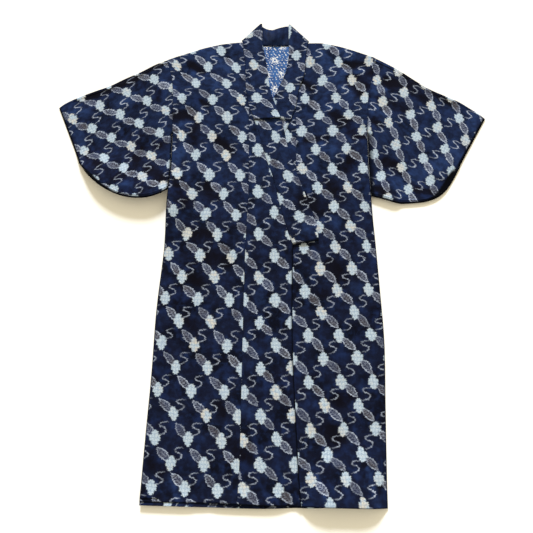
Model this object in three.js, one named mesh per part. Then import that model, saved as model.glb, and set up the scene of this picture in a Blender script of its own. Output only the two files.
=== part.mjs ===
import * as THREE from "three";

// Kimono laid flat on its back, wearer's right front on top. Millimetres.
// +X is the wearer's left, +Y the collar end, +Z up from the floor.

// Cloth thicknesses and clearances
const CLOTH = 1.6;
const COLLAR_CLOTH = 2.4;
const COVER_CLOTH = 1.0;
const LINING_CLOTH = 1.0;
const SEAM_GAP = 0.3;
const COVER_GAP = 0.4;
const FRONT_MID = 3.8;
const BACK_MID = CLOTH / 2;
const SIDE_MID = BACK_MID + CLOTH + 0.35;
const SIDE_DROOP = 14;

// Folded edges: how far the fold stands out past the panel's last row, and that row's inset
const FOLD_BULGE = 1.5;
const FOLD_INSET = 2.3;
const SLEEVE_BOTTOM_INSET = 4;

// Levels of the garment along Y
const KENSAKI_Y = 441;
const COLLAR_END_Y = 12;
const ROW_STEP = 39;
const YOKE_Y = KENSAKI_Y + 3 * ROW_STEP;
const LAST_ROW_Y = COLLAR_END_Y - 18 * ROW_STEP;
const HEM_RAIL_Y = LAST_ROW_Y - 30;
const COVER_END_Y = KENSAKI_Y - ROW_STEP;
const NECKLINE_Y = 657;
const NECK_CENTRE_X = 12;

// Centre-back seam and the free edges of the two overlap panels
const CENTRE_BACK = [
  { y: 657, x: 12 },
  { y: 350, x: 2 },
  { y: 0, x: -8 },
  { y: -350, x: -14 },
  { y: -735, x: -22 },
];

// Wearer's right half: outer edge, overlap seam, overlap free edge
const RIGHT_SIDE = [
  { y: 608, x: -326 },
  { y: 576, x: -314 },
  { y: 505, x: -305 },
  { y: 422, x: -303 },
  { y: 260, x: -304 },
  { y: 156, x: -309 },
  { y: 9, x: -316 },
  { y: -181, x: -333 },
  { y: -363, x: -341 },
  { y: -539, x: -352 },
  { y: -687, x: -360 },
  { y: -735, x: -360 },
];
const RIGHT_OVERLAP_SEAM = [
  { y: 441, x: -69.5 },
  { y: 150, x: -70 },
  { y: 60, x: -76 },
  { y: -152, x: -82 },
  { y: -435, x: -87 },
  { y: -600, x: -90 },
  { y: -735, x: -97 },
];
const RIGHT_OVERLAP_EDGE = [
  { y: 12, x: 62 },
  { y: -152, x: 59 },
  { y: -296, x: 59 },
  { y: -435, x: 64 },
  { y: -600, x: 71 },
  { y: -735, x: 78 },
];

// Wearer's left half: the same rails, its overlap lies under the right front
const LEFT_SIDE = [
  { y: 616, x: 322 },
  { y: 555, x: 311 },
  { y: 512, x: 302 },
  { y: 455, x: 295 },
  { y: 334, x: 291 },
  { y: 159, x: 295 },
  { y: 9, x: 305 },
  { y: -111, x: 312 },
  { y: -273, x: 320 },
  { y: -452, x: 317 },
  { y: -624, x: 314 },
  { y: -735, x: 313 },
];
const LEFT_OVERLAP_SEAM = [
  { y: 441, x: 74.5 },
  { y: 129, x: 70 },
  { y: 12, x: 56 },
  { y: -152, x: 51 },
  { y: -300, x: 50 },
  { y: -456, x: 54 },
  { y: -600, x: 58 },
  { y: -735, x: 64 },
];
const LEFT_OVERLAP_EDGE = [
  { y: 12, x: -52 },
  { y: -300, x: -57 },
  { y: -735, x: -58 },
];

// Shoulder fold and hems across X
const SHOULDER = [
  { x: -326, y: 608 },
  { x: -286, y: 623 },
  { x: -177, y: 657 },
  { x: -90, y: 668 },
  { x: 12, y: 669 },
  { x: 114, y: 665 },
  { x: 167, y: 664 },
  { x: 245, y: 644 },
  { x: 322, y: 616 },
];
const FRONT_HEM = [
  { x: -360, y: -707 },
  { x: -155, y: -711 },
  { x: -20, y: -717 },
  { x: 75, y: -719 },
  { x: 196, y: -722 },
  { x: 315, y: -725 },
];
const BACK_HEM = [
  { x: -360, y: -716 },
  { x: -155, y: -722 },
  { x: -20, y: -725 },
  { x: 120, y: -722 },
  { x: 196, y: -717 },
  { x: 315, y: -720 },
];

// Collar stations by the height of the seam side: seam x, free edge x and y, middle heights of both
const COLLAR_RIGHT = [
  { y: 12, x: 62, fx: 136, fy: 25, z: 8.6, fz: 7.2 },
  { y: 51, x: 47, fx: 131, fy: 80, z: 8.8, fz: 7.2 },
  { y: 119, x: 27, fx: 110, fy: 137, z: 8.8, fz: 7.6 },
  { y: 214, x: 5, fx: 77, fy: 226, z: 8.8, fz: 8.4 },
  { y: 292, x: -21, fx: 50, fy: 305, z: 9.6, fz: 9.4 },
  { y: 373, x: -43, fx: 33, fy: 387, z: 11.8, fz: 11.8 },
  { y: 441, x: -66.5, fx: 15, fy: 437, z: 11.9, fz: 12.0 },
  { y: 505, x: -79, fx: -7, fy: 505, z: 10.6, fz: 11.0 },
  { y: 572, x: -81, fx: -16, fy: 576, z: 8.8, fz: 9.4 },
  { y: 623, x: -86, fx: -24, fy: 624, z: 8.3, fz: 8.6 },
  { y: 666, x: -89.5, fx: -31, fy: 666, z: 8.7, fz: 8.7 },
];
const COLLAR_LEFT = [
  { y: 12, x: -52, fx: -126, fy: 24, z: 4.7, fz: 4.7 },
  { y: 119, x: -24, fx: -98, fy: 137, z: 4.7, fz: 4.7 },
  { y: 214, x: -5, fx: -78, fy: 232, z: 4.7, fz: 4.7 },
  { y: 292, x: 17, fx: -56, fy: 312, z: 4.7, fz: 4.7 },
  { y: 373, x: 44, fx: -30, fy: 392, z: 5.4, fz: 5.4 },
  { y: 441, x: 71.5, fx: -3, fy: 456, z: 5.9, fz: 5.9 },
  { y: 505, x: 84, fx: 22, fy: 509, z: 5.9, fz: 6.0 },
  { y: 559, x: 101, fx: 44, fy: 563, z: 6.2, fz: 6.4 },
  { y: 623, x: 107, fx: 56, fy: 620, z: 7.4, fz: 7.6 },
  { y: 664, x: 113.5, fx: 56, fy: 664, z: 8.7, fz: 8.7 },
];
const COLLAR_WIDTH_AT_NECK = 58;
const NECK_BACK_MID = 2.9;
const NECK_FRONT_MID = 8.7;
const NECK_TURN_STEPS = 4;

// Back of the collar from one neck corner to the other
const COLLAR_BACK = [
  { x: -31, fy: 722, fz: 2.9, rise: 0 },
  { x: -18, fy: 712, fz: 6, rise: 4 },
  { x: 2, fy: 705, fz: 10, rise: 9 },
  { x: 20, fy: 711, fz: 10, rise: 10 },
  { x: 40, fy: 719, fz: 6, rise: 4 },
  { x: 55, fy: 722, fz: 2.9, rise: 0 },
];

// Sleeve stations from armhole to wrist: fold at the top, closed seam at the bottom
const SLEEVE_RIGHT = [
  { tx: -326, ty: 608, bx: -305, by: 176 },
  { tx: -362, ty: 593, bx: -334, by: 159 },
  { tx: -408, ty: 567, bx: -371, by: 147 },
  { tx: -454, ty: 545, bx: -417, by: 147 },
  { tx: -499, ty: 521, bx: -459, by: 158 },
  { tx: -540, ty: 505, bx: -498, by: 178 },
  { tx: -580, ty: 489, bx: -528, by: 201 },
  { tx: -612, ty: 474, bx: -551, by: 225 },
  { tx: -634, ty: 462, bx: -567, by: 247 },
  { tx: -652, ty: 448, bx: -579, by: 262 },
];
const SLEEVE_LEFT = [
  { tx: 322, ty: 616, bx: 297, by: 158 },
  { tx: 360, ty: 595, bx: 333, by: 148 },
  { tx: 398, ty: 572, bx: 371, by: 137 },
  { tx: 443, ty: 540, bx: 417, by: 138 },
  { tx: 488, ty: 510, bx: 458, by: 143 },
  { tx: 533, ty: 488, bx: 493, by: 156 },
  { tx: 576, ty: 467, bx: 520, by: 178 },
  { tx: 610, ty: 444, bx: 541, by: 207 },
  { tx: 634, ty: 427, bx: 557, by: 235 },
  { tx: 652, ty: 412, bx: 568, by: 257 },
];
const SLEEVE_FREE_GAP = 4;
const SLEEVE_SEWN_TO_Y = 363;

// Places where the cloth stands off the floor: centre, radii, turn in degrees, height
const LIFTS = [
  { x: 190, y: -765, rx: 129, ry: 240, turn: 0, h: 37 },
  { x: -300, y: -770, rx: 140, ry: 110, turn: 0, h: 20 },
  { x: -80, y: -770, rx: 140, ry: 110, turn: 0, h: 16 },
  { x: -440, y: 160, rx: 220, ry: 150, turn: -12, h: 34 },
  { x: 330, y: 160, rx: 60, ry: 90, turn: 0, h: 10 },
  { x: 450, y: 130, rx: 170, ry: 90, turn: 0, h: 6 },
];

// Soft ridges of the upper layer: two ends, half width, height
const RIDGES = [
  { x0: 214, y0: 560, x1: 280, y1: 400, w: 26, h: 4.5 },
  { x0: -220, y0: 520, x1: -290, y1: 470, w: 24, h: 3.5 },
  { x0: -200, y0: 250, x1: -220, y1: -250, w: 46, h: 2.5 },
  { x0: 190, y0: 150, x1: 200, y1: -350, w: 44, h: 2.5 },
  { x0: -420, y0: 500, x1: -390, y1: 240, w: 46, h: 3.0 },
  { x0: -560, y0: 430, x1: -500, y1: 260, w: 40, h: 3.0 },
  { x0: 400, y0: 500, x1: 380, y1: 220, w: 46, h: 3.0 },
  { x0: 560, y0: 400, x1: 500, y1: 240, w: 40, h: 3.0 },
];

// How far the right front climbs over the left one: by Y, between two X limits
const CLIMB = [
  { y: 668, h: 2.6 },
  { y: 600, h: 3.2 },
  { y: 505, h: 5.6 },
  { y: 441, h: 6.8 },
  { y: 373, h: 6.6 },
  { y: 292, h: 4.8 },
  { y: 12, h: 4.2 },
  { y: -60, h: 2.8 },
  { y: -500, h: 3.2 },
  { y: -640, h: 4.6 },
  { y: -735, h: 5.2 },
];
const CLIMB_FROM_X = -225;
const CLIMB_TO_X = -128;
const NECK_CLIMB_FROM_X = 210;
const NECK_CLIMB_TO_X = 120;
const NECK_CLIMB_Y = 560;

const clamp01 = (v) => Math.min(1, Math.max(0, v));
const lerp = (a, b, t) => a + (b - a) * t;
const smooth = (t) => clamp01(t) ** 2 * (3 - 2 * clamp01(t));

// Smooth reading of one column of a table at a place along its key column
function read(table, key, at, column) {
  const sign = table[1][key] > table[0][key] ? 1 : -1;
  let i = 0;
  while (i < table.length - 2 && sign * at > sign * table[i + 1][key]) i += 1;
  const span = table[i + 1][key] - table[i][key];
  const t = clamp01((at - table[i][key]) / span);
  const slope = (k) => {
    const a = table[Math.max(0, k - 1)];
    const b = table[Math.min(table.length - 1, k + 1)];
    return (b[column] - a[column]) / (b[key] - a[key]);
  };
  const m0 = slope(i) * span;
  const m1 = slope(i + 1) * span;
  const p0 = table[i][column];
  const p1 = table[i + 1][column];
  const rise = p1 - p0;
  return p0 + t * m0 + t * t * (3 * rise - 2 * m0 - m1) + t ** 3 * (m0 + m1 - 2 * rise);
}

const railX = (table, y) => read(table, "y", y, "x");
const railY = (table, x) => read(table, "x", x, "y");

// Height of the lower layer above the floor at a place; a lift has steep sides across, soft ones along
const LIFT_FLATNESS = 5;
function liftAt(x, y) {
  let total = 0;
  for (const bump of LIFTS) {
    const turn = (bump.turn * Math.PI) / 180;
    const dx = x - bump.x;
    const dy = y - bump.y;
    const u = (dx * Math.cos(turn) + dy * Math.sin(turn)) / bump.rx;
    const v = (dy * Math.cos(turn) - dx * Math.sin(turn)) / bump.ry;
    const reach = 1 - Math.abs(u) ** LIFT_FLATNESS - v * v;
    if (reach > 0) total += bump.h * reach * reach;
  }
  return total;
}

// Height of the soft ridges of the upper layer at a place
function ridgeAt(x, y) {
  let total = 0;
  for (const fold of RIDGES) {
    const ax = fold.x1 - fold.x0;
    const ay = fold.y1 - fold.y0;
    const length = Math.hypot(ax, ay);
    const along = clamp01(((x - fold.x0) * ax + (y - fold.y0) * ay) / length ** 2);
    const off = Math.hypot(x - fold.x0 - along * ax, y - fold.y0 - along * ay);
    const near = 1 - (off / fold.w) ** 2;
    if (near > 0) total += fold.h * near * near;
  }
  return total;
}

// Middle height of the right front and its overlap
function rightFrontZ(x, y) {
  const climb = read(CLIMB, "y", y, "h");
  const share = smooth((x - CLIMB_FROM_X) / (CLIMB_TO_X - CLIMB_FROM_X));
  return FRONT_MID + climb * share + liftAt(x, y) + ridgeAt(x, y);
}

// Middle height of the left front, which rises only beside the neck
function leftFrontZ(x, y) {
  const share = smooth((x - NECK_CLIMB_FROM_X) / (NECK_CLIMB_TO_X - NECK_CLIMB_FROM_X));
  const climb = 2.6 * share * smooth((y - NECK_CLIMB_Y) / 80);
  return FRONT_MID + climb + liftAt(x, y) + ridgeAt(x, y);
}

const flatFrontZ = (x, y) => FRONT_MID + liftAt(x, y) + ridgeAt(x, y);
const backZ = (x, y) => BACK_MID + liftAt(x, y);

// A mesh that collects corners and faces, then becomes one solid
class Body {
  constructor() {
    this.corners = [];
    this.faces = [];
  }
  add(p) {
    this.corners.push(p[0], p[1], p[2]);
    return this.corners.length / 3 - 1;
  }
  quad(a, b, c, d) {
    this.faces.push(a, b, c, a, c, d);
  }
  volume() {
    const c = this.corners;
    let total = 0;
    for (let i = 0; i < this.faces.length; i += 3) {
      const [a, b, d] = [0, 1, 2].map((k) => {
        const v = this.faces[i + k] * 3;
        return new THREE.Vector3(c[v], c[v + 1], c[v + 2]);
      });
      total += a.dot(b.cross(d));
    }
    return total;
  }
  geometry() {
    if (this.volume() < 0) {
      for (let i = 0; i < this.faces.length; i += 3) {
        [this.faces[i + 1], this.faces[i + 2]] = [this.faces[i + 2], this.faces[i + 1]];
      }
    }
    const geometry = new THREE.BufferGeometry();
    geometry.setAttribute("position", new THREE.Float32BufferAttribute(this.corners, 3));
    geometry.setIndex(this.faces);
    geometry.computeVertexNormals();
    return geometry;
  }
}

// Cloth wall on a grid of {p, n} points; keep(i, j) says which cells are there
function clothSolid(grid, thickness, keep = () => true) {
  const body = new Body();
  const rows = grid.length;
  const columns = grid[0].length;
  const outer = new Map();
  const inner = new Map();
  const corner = (map, side, i, j) => {
    const key = i * columns + j;
    if (!map.has(key)) {
      const { p, n } = grid[i][j];
      map.set(key, body.add(p.map((v, k) => v + (n[k] * side * thickness) / 2)));
    }
    return map.get(key);
  };
  const out = (i, j) => corner(outer, 1, i, j);
  const inn = (i, j) => corner(inner, -1, i, j);
  const here = (i, j) => i >= 0 && j >= 0 && i < rows - 1 && j < columns - 1 && keep(i, j);
  for (let i = 0; i < rows - 1; i += 1) {
    for (let j = 0; j < columns - 1; j += 1) {
      if (!here(i, j)) continue;
      body.quad(out(i, j), out(i + 1, j), out(i + 1, j + 1), out(i, j + 1));
      body.quad(inn(i, j), inn(i, j + 1), inn(i + 1, j + 1), inn(i + 1, j));
      if (!here(i - 1, j)) body.quad(out(i, j), out(i, j + 1), inn(i, j + 1), inn(i, j));
      if (!here(i + 1, j)) {
        body.quad(out(i + 1, j + 1), out(i + 1, j), inn(i + 1, j), inn(i + 1, j + 1));
      }
      if (!here(i, j - 1)) body.quad(out(i + 1, j), out(i, j), inn(i, j), inn(i + 1, j));
      if (!here(i, j + 1)) {
        body.quad(out(i, j + 1), out(i + 1, j + 1), inn(i + 1, j + 1), inn(i, j + 1));
      }
    }
  }
  return body.geometry();
}

// Solid through closed sections of equal count; reversed(j) marks sides that run free edge to seam
function loft(sections, reversed) {
  const body = new Body();
  const rings = sections.map((section) => section.map((p) => body.add(p)));
  const count = rings[0].length;
  for (let i = 0; i < rings.length - 1; i += 1) {
    for (let j = 0; j < count; j += 1) {
      const k = (j + 1) % count;
      const around = [rings[i][j], rings[i + 1][j], rings[i + 1][k], rings[i][k]];
      if (reversed(j)) around.push(around.shift());
      body.quad(...around);
    }
  }
  pairedCap(body, rings[0], false);
  pairedCap(body, rings[rings.length - 1], true);
  return body.geometry();
}

// Cap of a section made of two equal halves that run there and back
function pairedCap(body, ring, far) {
  const half = ring.length / 2;
  for (let j = 0; j < half - 1; j += 1) {
    const around = [ring[j], ring[j + 1], ring[ring.length - 2 - j], ring[ring.length - 1 - j]];
    if (far) around.reverse();
    body.quad(...around);
  }
}

// Rows of the body: hem to yoke at fixed heights, then steps up to the shoulder
const BODY_YS = [];
for (let y = LAST_ROW_Y; y <= YOKE_Y + 1; y += ROW_STEP) BODY_YS.push(y);
const YOKE_STEPS = 3;
const FOLD_ANGLES = [-45, 0, 45];

const SIDE_COLUMNS = [0, 0.035, 0.14, 0.27, 0.4, 0.53, 0.66, 0.78, 0.89, 1];
const NECK_COLUMNS = [0.25, 0.5, 0.75, 1];

// Front edge of one half: the collar seam above the overlap's tip, the overlap seam below it
function frontEdgeX(half, y) {
  if (y <= KENSAKI_Y) return railX(half.overlapSeam, y);
  return railX(half.collar, y);
}

// The body cloth of one half: back panel, shoulder fold, front panel, as one grid
function bodyGrid(half) {
  const neckX = half.collar[half.collar.length - 1].x + half.out * SEAM_GAP;
  const topSideX = half.side[0].x;
  const centreTop = NECK_CENTRE_X + half.out * 0.5 * SEAM_GAP;
  const neckShare = (neckX - topSideX) / (centreTop - topSideX);
  const columns = [
    ...SIDE_COLUMNS.map((f) => ({ f, g: f * neckShare, front: true })),
    ...NECK_COLUMNS.map((f) => ({ f: 1, g: lerp(neckShare, 1, f), front: false })),
  ];
  const backX = (g, y) =>
    lerp(railX(half.side, y), railX(CENTRE_BACK, y) + half.out * 0.5 * SEAM_GAP, g);
  const frontX = (f, y) =>
    lerp(railX(half.side, y), frontEdgeX(half, y) + half.out * 0.5 * SEAM_GAP, f);
  const topOf = (c) => {
    const x = lerp(topSideX, centreTop, c.g);
    return { x, y: c.front ? railY(SHOULDER, x) - FOLD_INSET : NECKLINE_Y };
  };
  const droop = (z, x, y) => {
    const edge = Math.abs(x - railX(half.side, y));
    return lerp(SIDE_MID + liftAt(x, y), z, smooth(edge / SIDE_DROOP));
  };
  const backPoint = (x, y) => ({ p: [x, y, backZ(x, y)], n: [0, 0, -1] });
  const frontPoint = (x, y) => ({ p: [x, y, droop(half.frontZ(x, y), x, y)], n: [0, 0, 1] });
  const grid = [];
  grid.push(columns.map((c) => {
    const x = backX(c.g, HEM_RAIL_Y);
    return backPoint(x, railY(BACK_HEM, x));
  }));
  for (const y of BODY_YS) grid.push(columns.map((c) => backPoint(backX(c.g, y), y)));
  const yoke = (c, share, front) => {
    const from = front ? frontX(c.f, YOKE_Y) : backX(c.g, YOKE_Y);
    const top = topOf(c);
    let x = lerp(from, top.x, share);
    const y = lerp(YOKE_Y, top.y, share);
    if (front && c.f === 1) x = railX(half.collar, y) + half.out * 0.5 * SEAM_GAP;
    return { x, y };
  };
  for (let k = 1; k <= YOKE_STEPS; k += 1) {
    grid.push(columns.map((c) => {
      const { x, y } = yoke(c, k / YOKE_STEPS, false);
      return backPoint(x, y);
    }));
  }
  const backRows = grid.length;
  const topFront = columns.map((c) => {
    const { x, y } = yoke(c, 1, true);
    return frontPoint(x, y);
  });
  const topBack = grid[backRows - 1];
  for (const degrees of FOLD_ANGLES) {
    const angle = (degrees * Math.PI) / 180;
    grid.push(columns.map((c, j) => {
      const low = topBack[j].p;
      const high = topFront[j].p;
      const radius = (high[2] - low[2]) / 2;
      const reach = Math.cos(angle);
      return {
        p: [
          lerp(low[0], high[0], (1 + Math.sin(angle)) / 2),
          lerp(low[1], high[1], (1 + Math.sin(angle)) / 2) + FOLD_BULGE * reach,
          (low[2] + high[2]) / 2 + radius * Math.sin(angle),
        ],
        n: [0, reach, Math.sin(angle)],
      };
    }));
  }
  grid.push(topFront);
  for (let k = YOKE_STEPS - 1; k >= 1; k -= 1) {
    grid.push(columns.map((c) => {
      const { x, y } = yoke(c, k / YOKE_STEPS, true);
      return frontPoint(x, y);
    }));
  }
  for (const y of [...BODY_YS].reverse()) {
    grid.push(columns.map((c) => frontPoint(frontX(c.f, y), y)));
  }
  grid.push(columns.map((c) => {
    const x = frontX(c.f, HEM_RAIL_Y);
    return frontPoint(x, railY(FRONT_HEM, x));
  }));
  const keep = (i, j) => j < SIDE_COLUMNS.length - 1 || i < backRows - 1;
  return { grid, keep };
}

// Overlap panel: from its seam to the collar seam above, to its own free edge below
const OVERLAP_COLUMNS = [0, 0.25, 0.5, 0.75, 1];
function overlapGrid(half) {
  const ys = [...BODY_YS.filter((y) => y <= KENSAKI_Y + 1)].reverse();
  const inner = (y) => railX(half.overlapSeam, y) - half.out * 0.5 * SEAM_GAP;
  const outer = (y) =>
    y >= COLLAR_END_Y - 1
      ? railX(half.collar, y) + half.out * 0.5 * SEAM_GAP
      : railX(half.overlapEdge, y);
  const point = (x, y) => ({ p: [x, y, half.frontZ(x, y)], n: [0, 0, 1] });
  const grid = ys.map((y) => OVERLAP_COLUMNS.map((f) => point(lerp(inner(y), outer(y), f), y)));
  grid.push(OVERLAP_COLUMNS.map((f) => {
    const x = lerp(inner(HEM_RAIL_Y), outer(HEM_RAIL_Y), f);
    return point(x, railY(FRONT_HEM, x));
  }));
  return grid;
}

// Sleeve: rings of a flat tube, folded along the top, sewn along the bottom, open at both ends
function sleeveSolid(half) {
  const first = half.sleeve[0];
  const levels = [];
  const topY = first.ty - FOLD_INSET;
  const bottomY = first.by + SLEEVE_BOTTOM_INSET;
  for (let k = YOKE_STEPS; k >= 1; k -= 1) levels.push(lerp(YOKE_Y, topY, k / YOKE_STEPS));
  levels.push(...BODY_YS.filter((y) => y <= YOKE_Y && y > bottomY + 2 * SLEEVE_BOTTOM_INSET).reverse());
  levels.push(bottomY);
  const share = levels.map((y) => (levels[0] - y) / (levels[0] - levels[levels.length - 1]));
  const armholeX = (y) => {
    const free = y < SLEEVE_SEWN_TO_Y - 1 ? SLEEVE_FREE_GAP : SEAM_GAP;
    const yoke = clamp01((y - YOKE_Y) / (levels[0] - YOKE_Y));
    const rail = y > YOKE_Y ? lerp(railX(half.side, YOKE_Y), first.tx, yoke) : railX(half.side, y);
    return rail + half.out * free;
  };
  const place = (s, j) => {
    if (s === 0) return [armholeX(levels[j]), levels[j]];
    const row = half.sleeve[s];
    return [
      lerp(row.tx, row.bx, share[j]),
      lerp(row.ty - FOLD_INSET, row.by + SLEEVE_BOTTOM_INSET, share[j]),
    ];
  };
  const sections = half.sleeve.map((row, s) => {
    const points = [];
    const back = levels.map((y, j) => {
      const [px, py] = place(s, j);
      return { p: [px, py, backZ(px, py)], n: [0, 0, -1] };
    });
    const front = levels.map((y, j) => {
      const [px, py] = place(s, j);
      return { p: [px, py, flatFrontZ(px, py)], n: [0, 0, 1] };
    });
    const turn = (low, high, side) => FOLD_ANGLES.map((degrees) => {
      const angle = (degrees * Math.PI * side) / 180;
      const reach = Math.cos(angle) * side;
      const middle = (low.p[2] + high.p[2]) / 2;
      const radius = (high.p[2] - low.p[2]) / 2;
      return {
        p: [low.p[0], low.p[1] + FOLD_BULGE * reach, middle + radius * Math.sin(angle)],
        n: [0, reach, Math.sin(angle)],
      };
    });
    points.push(...[...back].reverse());
    points.push(...turn(back[0], front[0], 1));
    points.push(...front);
    points.push(...turn(back[back.length - 1], front[front.length - 1], -1));
    return points;
  });
  return tubeSolid(sections, CLOTH);
}

// Tube wall through rings of {p, n} points, open at both ends
function tubeSolid(sections, thickness) {
  const body = new Body();
  const shell = (side) => sections.map((ring) =>
    ring.map(({ p, n }) => body.add(p.map((v, k) => v + (n[k] * side * thickness) / 2))));
  const outer = shell(1);
  const inner = shell(-1);
  const count = sections[0].length;
  const last = sections.length - 1;
  for (let j = 0; j < count; j += 1) {
    const k = (j + 1) % count;
    for (let i = 0; i < last; i += 1) {
      body.quad(outer[i][j], outer[i + 1][j], outer[i + 1][k], outer[i][k]);
      body.quad(inner[i][j], inner[i][k], inner[i + 1][k], inner[i + 1][j]);
    }
    body.quad(outer[0][j], outer[0][k], inner[0][k], inner[0][j]);
    body.quad(outer[last][j], inner[last][j], inner[last][k], outer[last][k]);
  }
  return body.geometry();
}

// One straight line across the collar, from its seam to its free edge, with its facing
const line = (seam, free, face, rise = 0) => ({ seam, free, face, rise });

// Lines of the front part of one collar side, lowest first
function frontLines(half, fromY) {
  const ys = BODY_YS.filter((y) => y >= fromY - 1 && y <= YOKE_Y + 1);
  const topY = railY(SHOULDER, half.collar[half.collar.length - 1].x) - FOLD_INSET;
  for (let k = 1; k <= YOKE_STEPS; k += 1) ys.push(lerp(YOKE_Y, topY, k / YOKE_STEPS));
  return ys.map((y) => {
    const at = (column) => read(half.collar, "y", y, column);
    return line(
      [at("x") - half.out * 0.5 * SEAM_GAP, y, at("z")],
      [at("fx"), at("fy"), at("fz")],
      [0, 0, 1],
    );
  });
}

// Lines around the folded neck corner of one side, from the front to the back of the neck
function cornerLines(half) {
  const top = half.collar[half.collar.length - 1];
  const out = half.out;
  const pivot = [top.x - out * 0.5 * SEAM_GAP, railY(SHOULDER, top.x) + 1.4];
  const freeX = pivot[0] - out * COLLAR_WIDTH_AT_NECK;
  const peak = [freeX, pivot[1] + COLLAR_WIDTH_AT_NECK];
  const lines = [];
  for (const share of [0.35, 0.7]) {
    lines.push(line(
      [pivot[0], pivot[1], NECK_FRONT_MID],
      [lerp(top.fx, freeX, share), lerp(top.fy, peak[1], share), NECK_FRONT_MID],
      [0, 0, 1],
    ));
  }
  const radius = (NECK_FRONT_MID - NECK_BACK_MID) / 2;
  const middle = (NECK_FRONT_MID + NECK_BACK_MID) / 2;
  const away = [out * Math.SQRT1_2, Math.SQRT1_2];
  for (let k = 0; k <= NECK_TURN_STEPS; k += 1) {
    const angle = (k / NECK_TURN_STEPS) * Math.PI;
    const reach = radius * Math.sin(angle);
    const z = middle + radius * Math.cos(angle);
    lines.push(line(
      [pivot[0] + away[0] * reach, pivot[1] + away[1] * reach, z],
      [peak[0] + away[0] * reach, peak[1] + away[1] * reach, z],
      [away[0] * Math.sin(angle), away[1] * Math.sin(angle), Math.cos(angle)],
    ));
  }
  for (const share of [0.35, 0.7]) {
    const seamY = lerp(pivot[1], NECKLINE_Y + 1, smooth(share * 1.3));
    lines.push(line(
      [lerp(pivot[0], freeX, share), seamY, NECK_BACK_MID],
      [freeX - out * share, lerp(peak[1], COLLAR_BACK[0].fy, share), NECK_BACK_MID],
      [0, 0, -1],
    ));
  }
  return lines;
}

// Lines of the back of the collar from the right corner to the left one
function backLines() {
  const lines = [];
  const first = COLLAR_BACK[0].x;
  const last = COLLAR_BACK[COLLAR_BACK.length - 1].x;
  const steps = 10;
  for (let k = 0; k <= steps; k += 1) {
    const x = lerp(first, last, k / steps);
    const at = (column) => read(COLLAR_BACK, "x", x, column);
    lines.push(line(
      [x, NECKLINE_Y + SEAM_GAP + 0.2, NECK_BACK_MID],
      [x, at("fy"), at("fz")],
      [0, 0, -1],
      at("rise"),
    ));
  }
  return lines;
}

// All lines of the collar strip, from the right end around the neck to the left end
function collarLines(fromY) {
  return [
    ...frontLines(RIGHT, fromY),
    ...cornerLines(RIGHT),
    ...backLines(),
    ...cornerLines(LEFT).reverse(),
    ...frontLines(LEFT, fromY).reverse(),
  ];
}

const ACROSS = [0, 0.25, 0.5, 0.75, 1];

// Middle points of the strip on every line, with the surface's facing and the way to the free edge
function stripFrames(lines) {
  const middle = lines.map((l) => ACROSS.map((share) => {
    const p = l.seam.map((v, k) => lerp(v, l.free[k], share));
    p[2] += l.rise * Math.sin(Math.PI * share);
    return new THREE.Vector3(...p);
  }));
  const last = ACROSS.length - 1;
  const end = lines.length - 1;
  return lines.map((l, i) => ACROSS.map((share, j) => {
    const wide = middle[i][Math.min(last, j + 1)].clone().sub(middle[i][Math.max(0, j - 1)]);
    const ahead = middle[Math.min(end, i + 1)][j].clone().sub(middle[Math.max(0, i - 1)][j]);
    const face = new THREE.Vector3(...l.face);
    let normal = wide.clone().cross(ahead);
    const level = 0.2 * wide.length() * ahead.length();
    if (ahead.length() < 1 || normal.length() < level) normal = face;
    normal.normalize();
    if (normal.dot(face) < 0) normal.negate();
    return { p: middle[i][j], n: normal, t: wide.normalize() };
  }));
}

// A point off one frame: along its facing, and on towards the free edge
const off = (frame, out, on = 0) =>
  frame.p.clone().addScaledVector(frame.n, out).addScaledVector(frame.t, on).toArray();

// Closed section of the folded strip
function stripSection(frames) {
  const half = COLLAR_CLOTH / 2;
  return [
    ...frames.map((frame) => off(frame, half)),
    ...frames.map((frame) => off(frame, -half)).reverse(),
  ];
}

// Closed section of the cover: over the strip, around its free edge, and back under it
function coverSection(frames) {
  const near = COLLAR_CLOTH / 2 + COVER_GAP;
  const far = near + COVER_CLOTH;
  const edge = frames[frames.length - 1];
  const last = frames.length - 1;
  const along = (distance, on) => frames.map((frame, j) => {
    if (j === 0) return off(frame, distance, 1.2);
    return off(frame, distance, j === last ? on : 0);
  });
  return [
    ...along(far, COVER_GAP + 0.4),
    off(edge, near * 0.6, COVER_GAP + COVER_CLOTH),
    off(edge, -near * 0.6, COVER_GAP + COVER_CLOTH),
    ...along(-far, COVER_GAP + 0.4).reverse(),
    ...along(-near, COVER_GAP),
    off(edge, -near * 0.5, COVER_GAP),
    off(edge, near * 0.5, COVER_GAP),
    ...along(near, COVER_GAP).reverse(),
  ];
}

// Lining inside the back of the neck, where the open collar shows it
const LINING_TOP_Y = NECKLINE_Y - 0.5;
const LINING = [
  { y: LINING_TOP_Y, left: -78, right: 100 },
  { y: 600, left: -66, right: 92 },
  { y: 540, left: -52, right: 76 },
  { y: 480, left: -36, right: 50 },
  { y: 425, left: -18, right: 26 },
];
function liningGrid() {
  const mid = CLOTH + SEAM_GAP + LINING_CLOTH / 2;
  const shares = [0, 0.2, 0.4, 0.6, 0.8, 1];
  return LINING.map((row) => shares.map((f) => ({
    p: [lerp(row.left, row.right, f), row.y, mid],
    n: [0, 0, 1],
  })));
}

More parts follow.
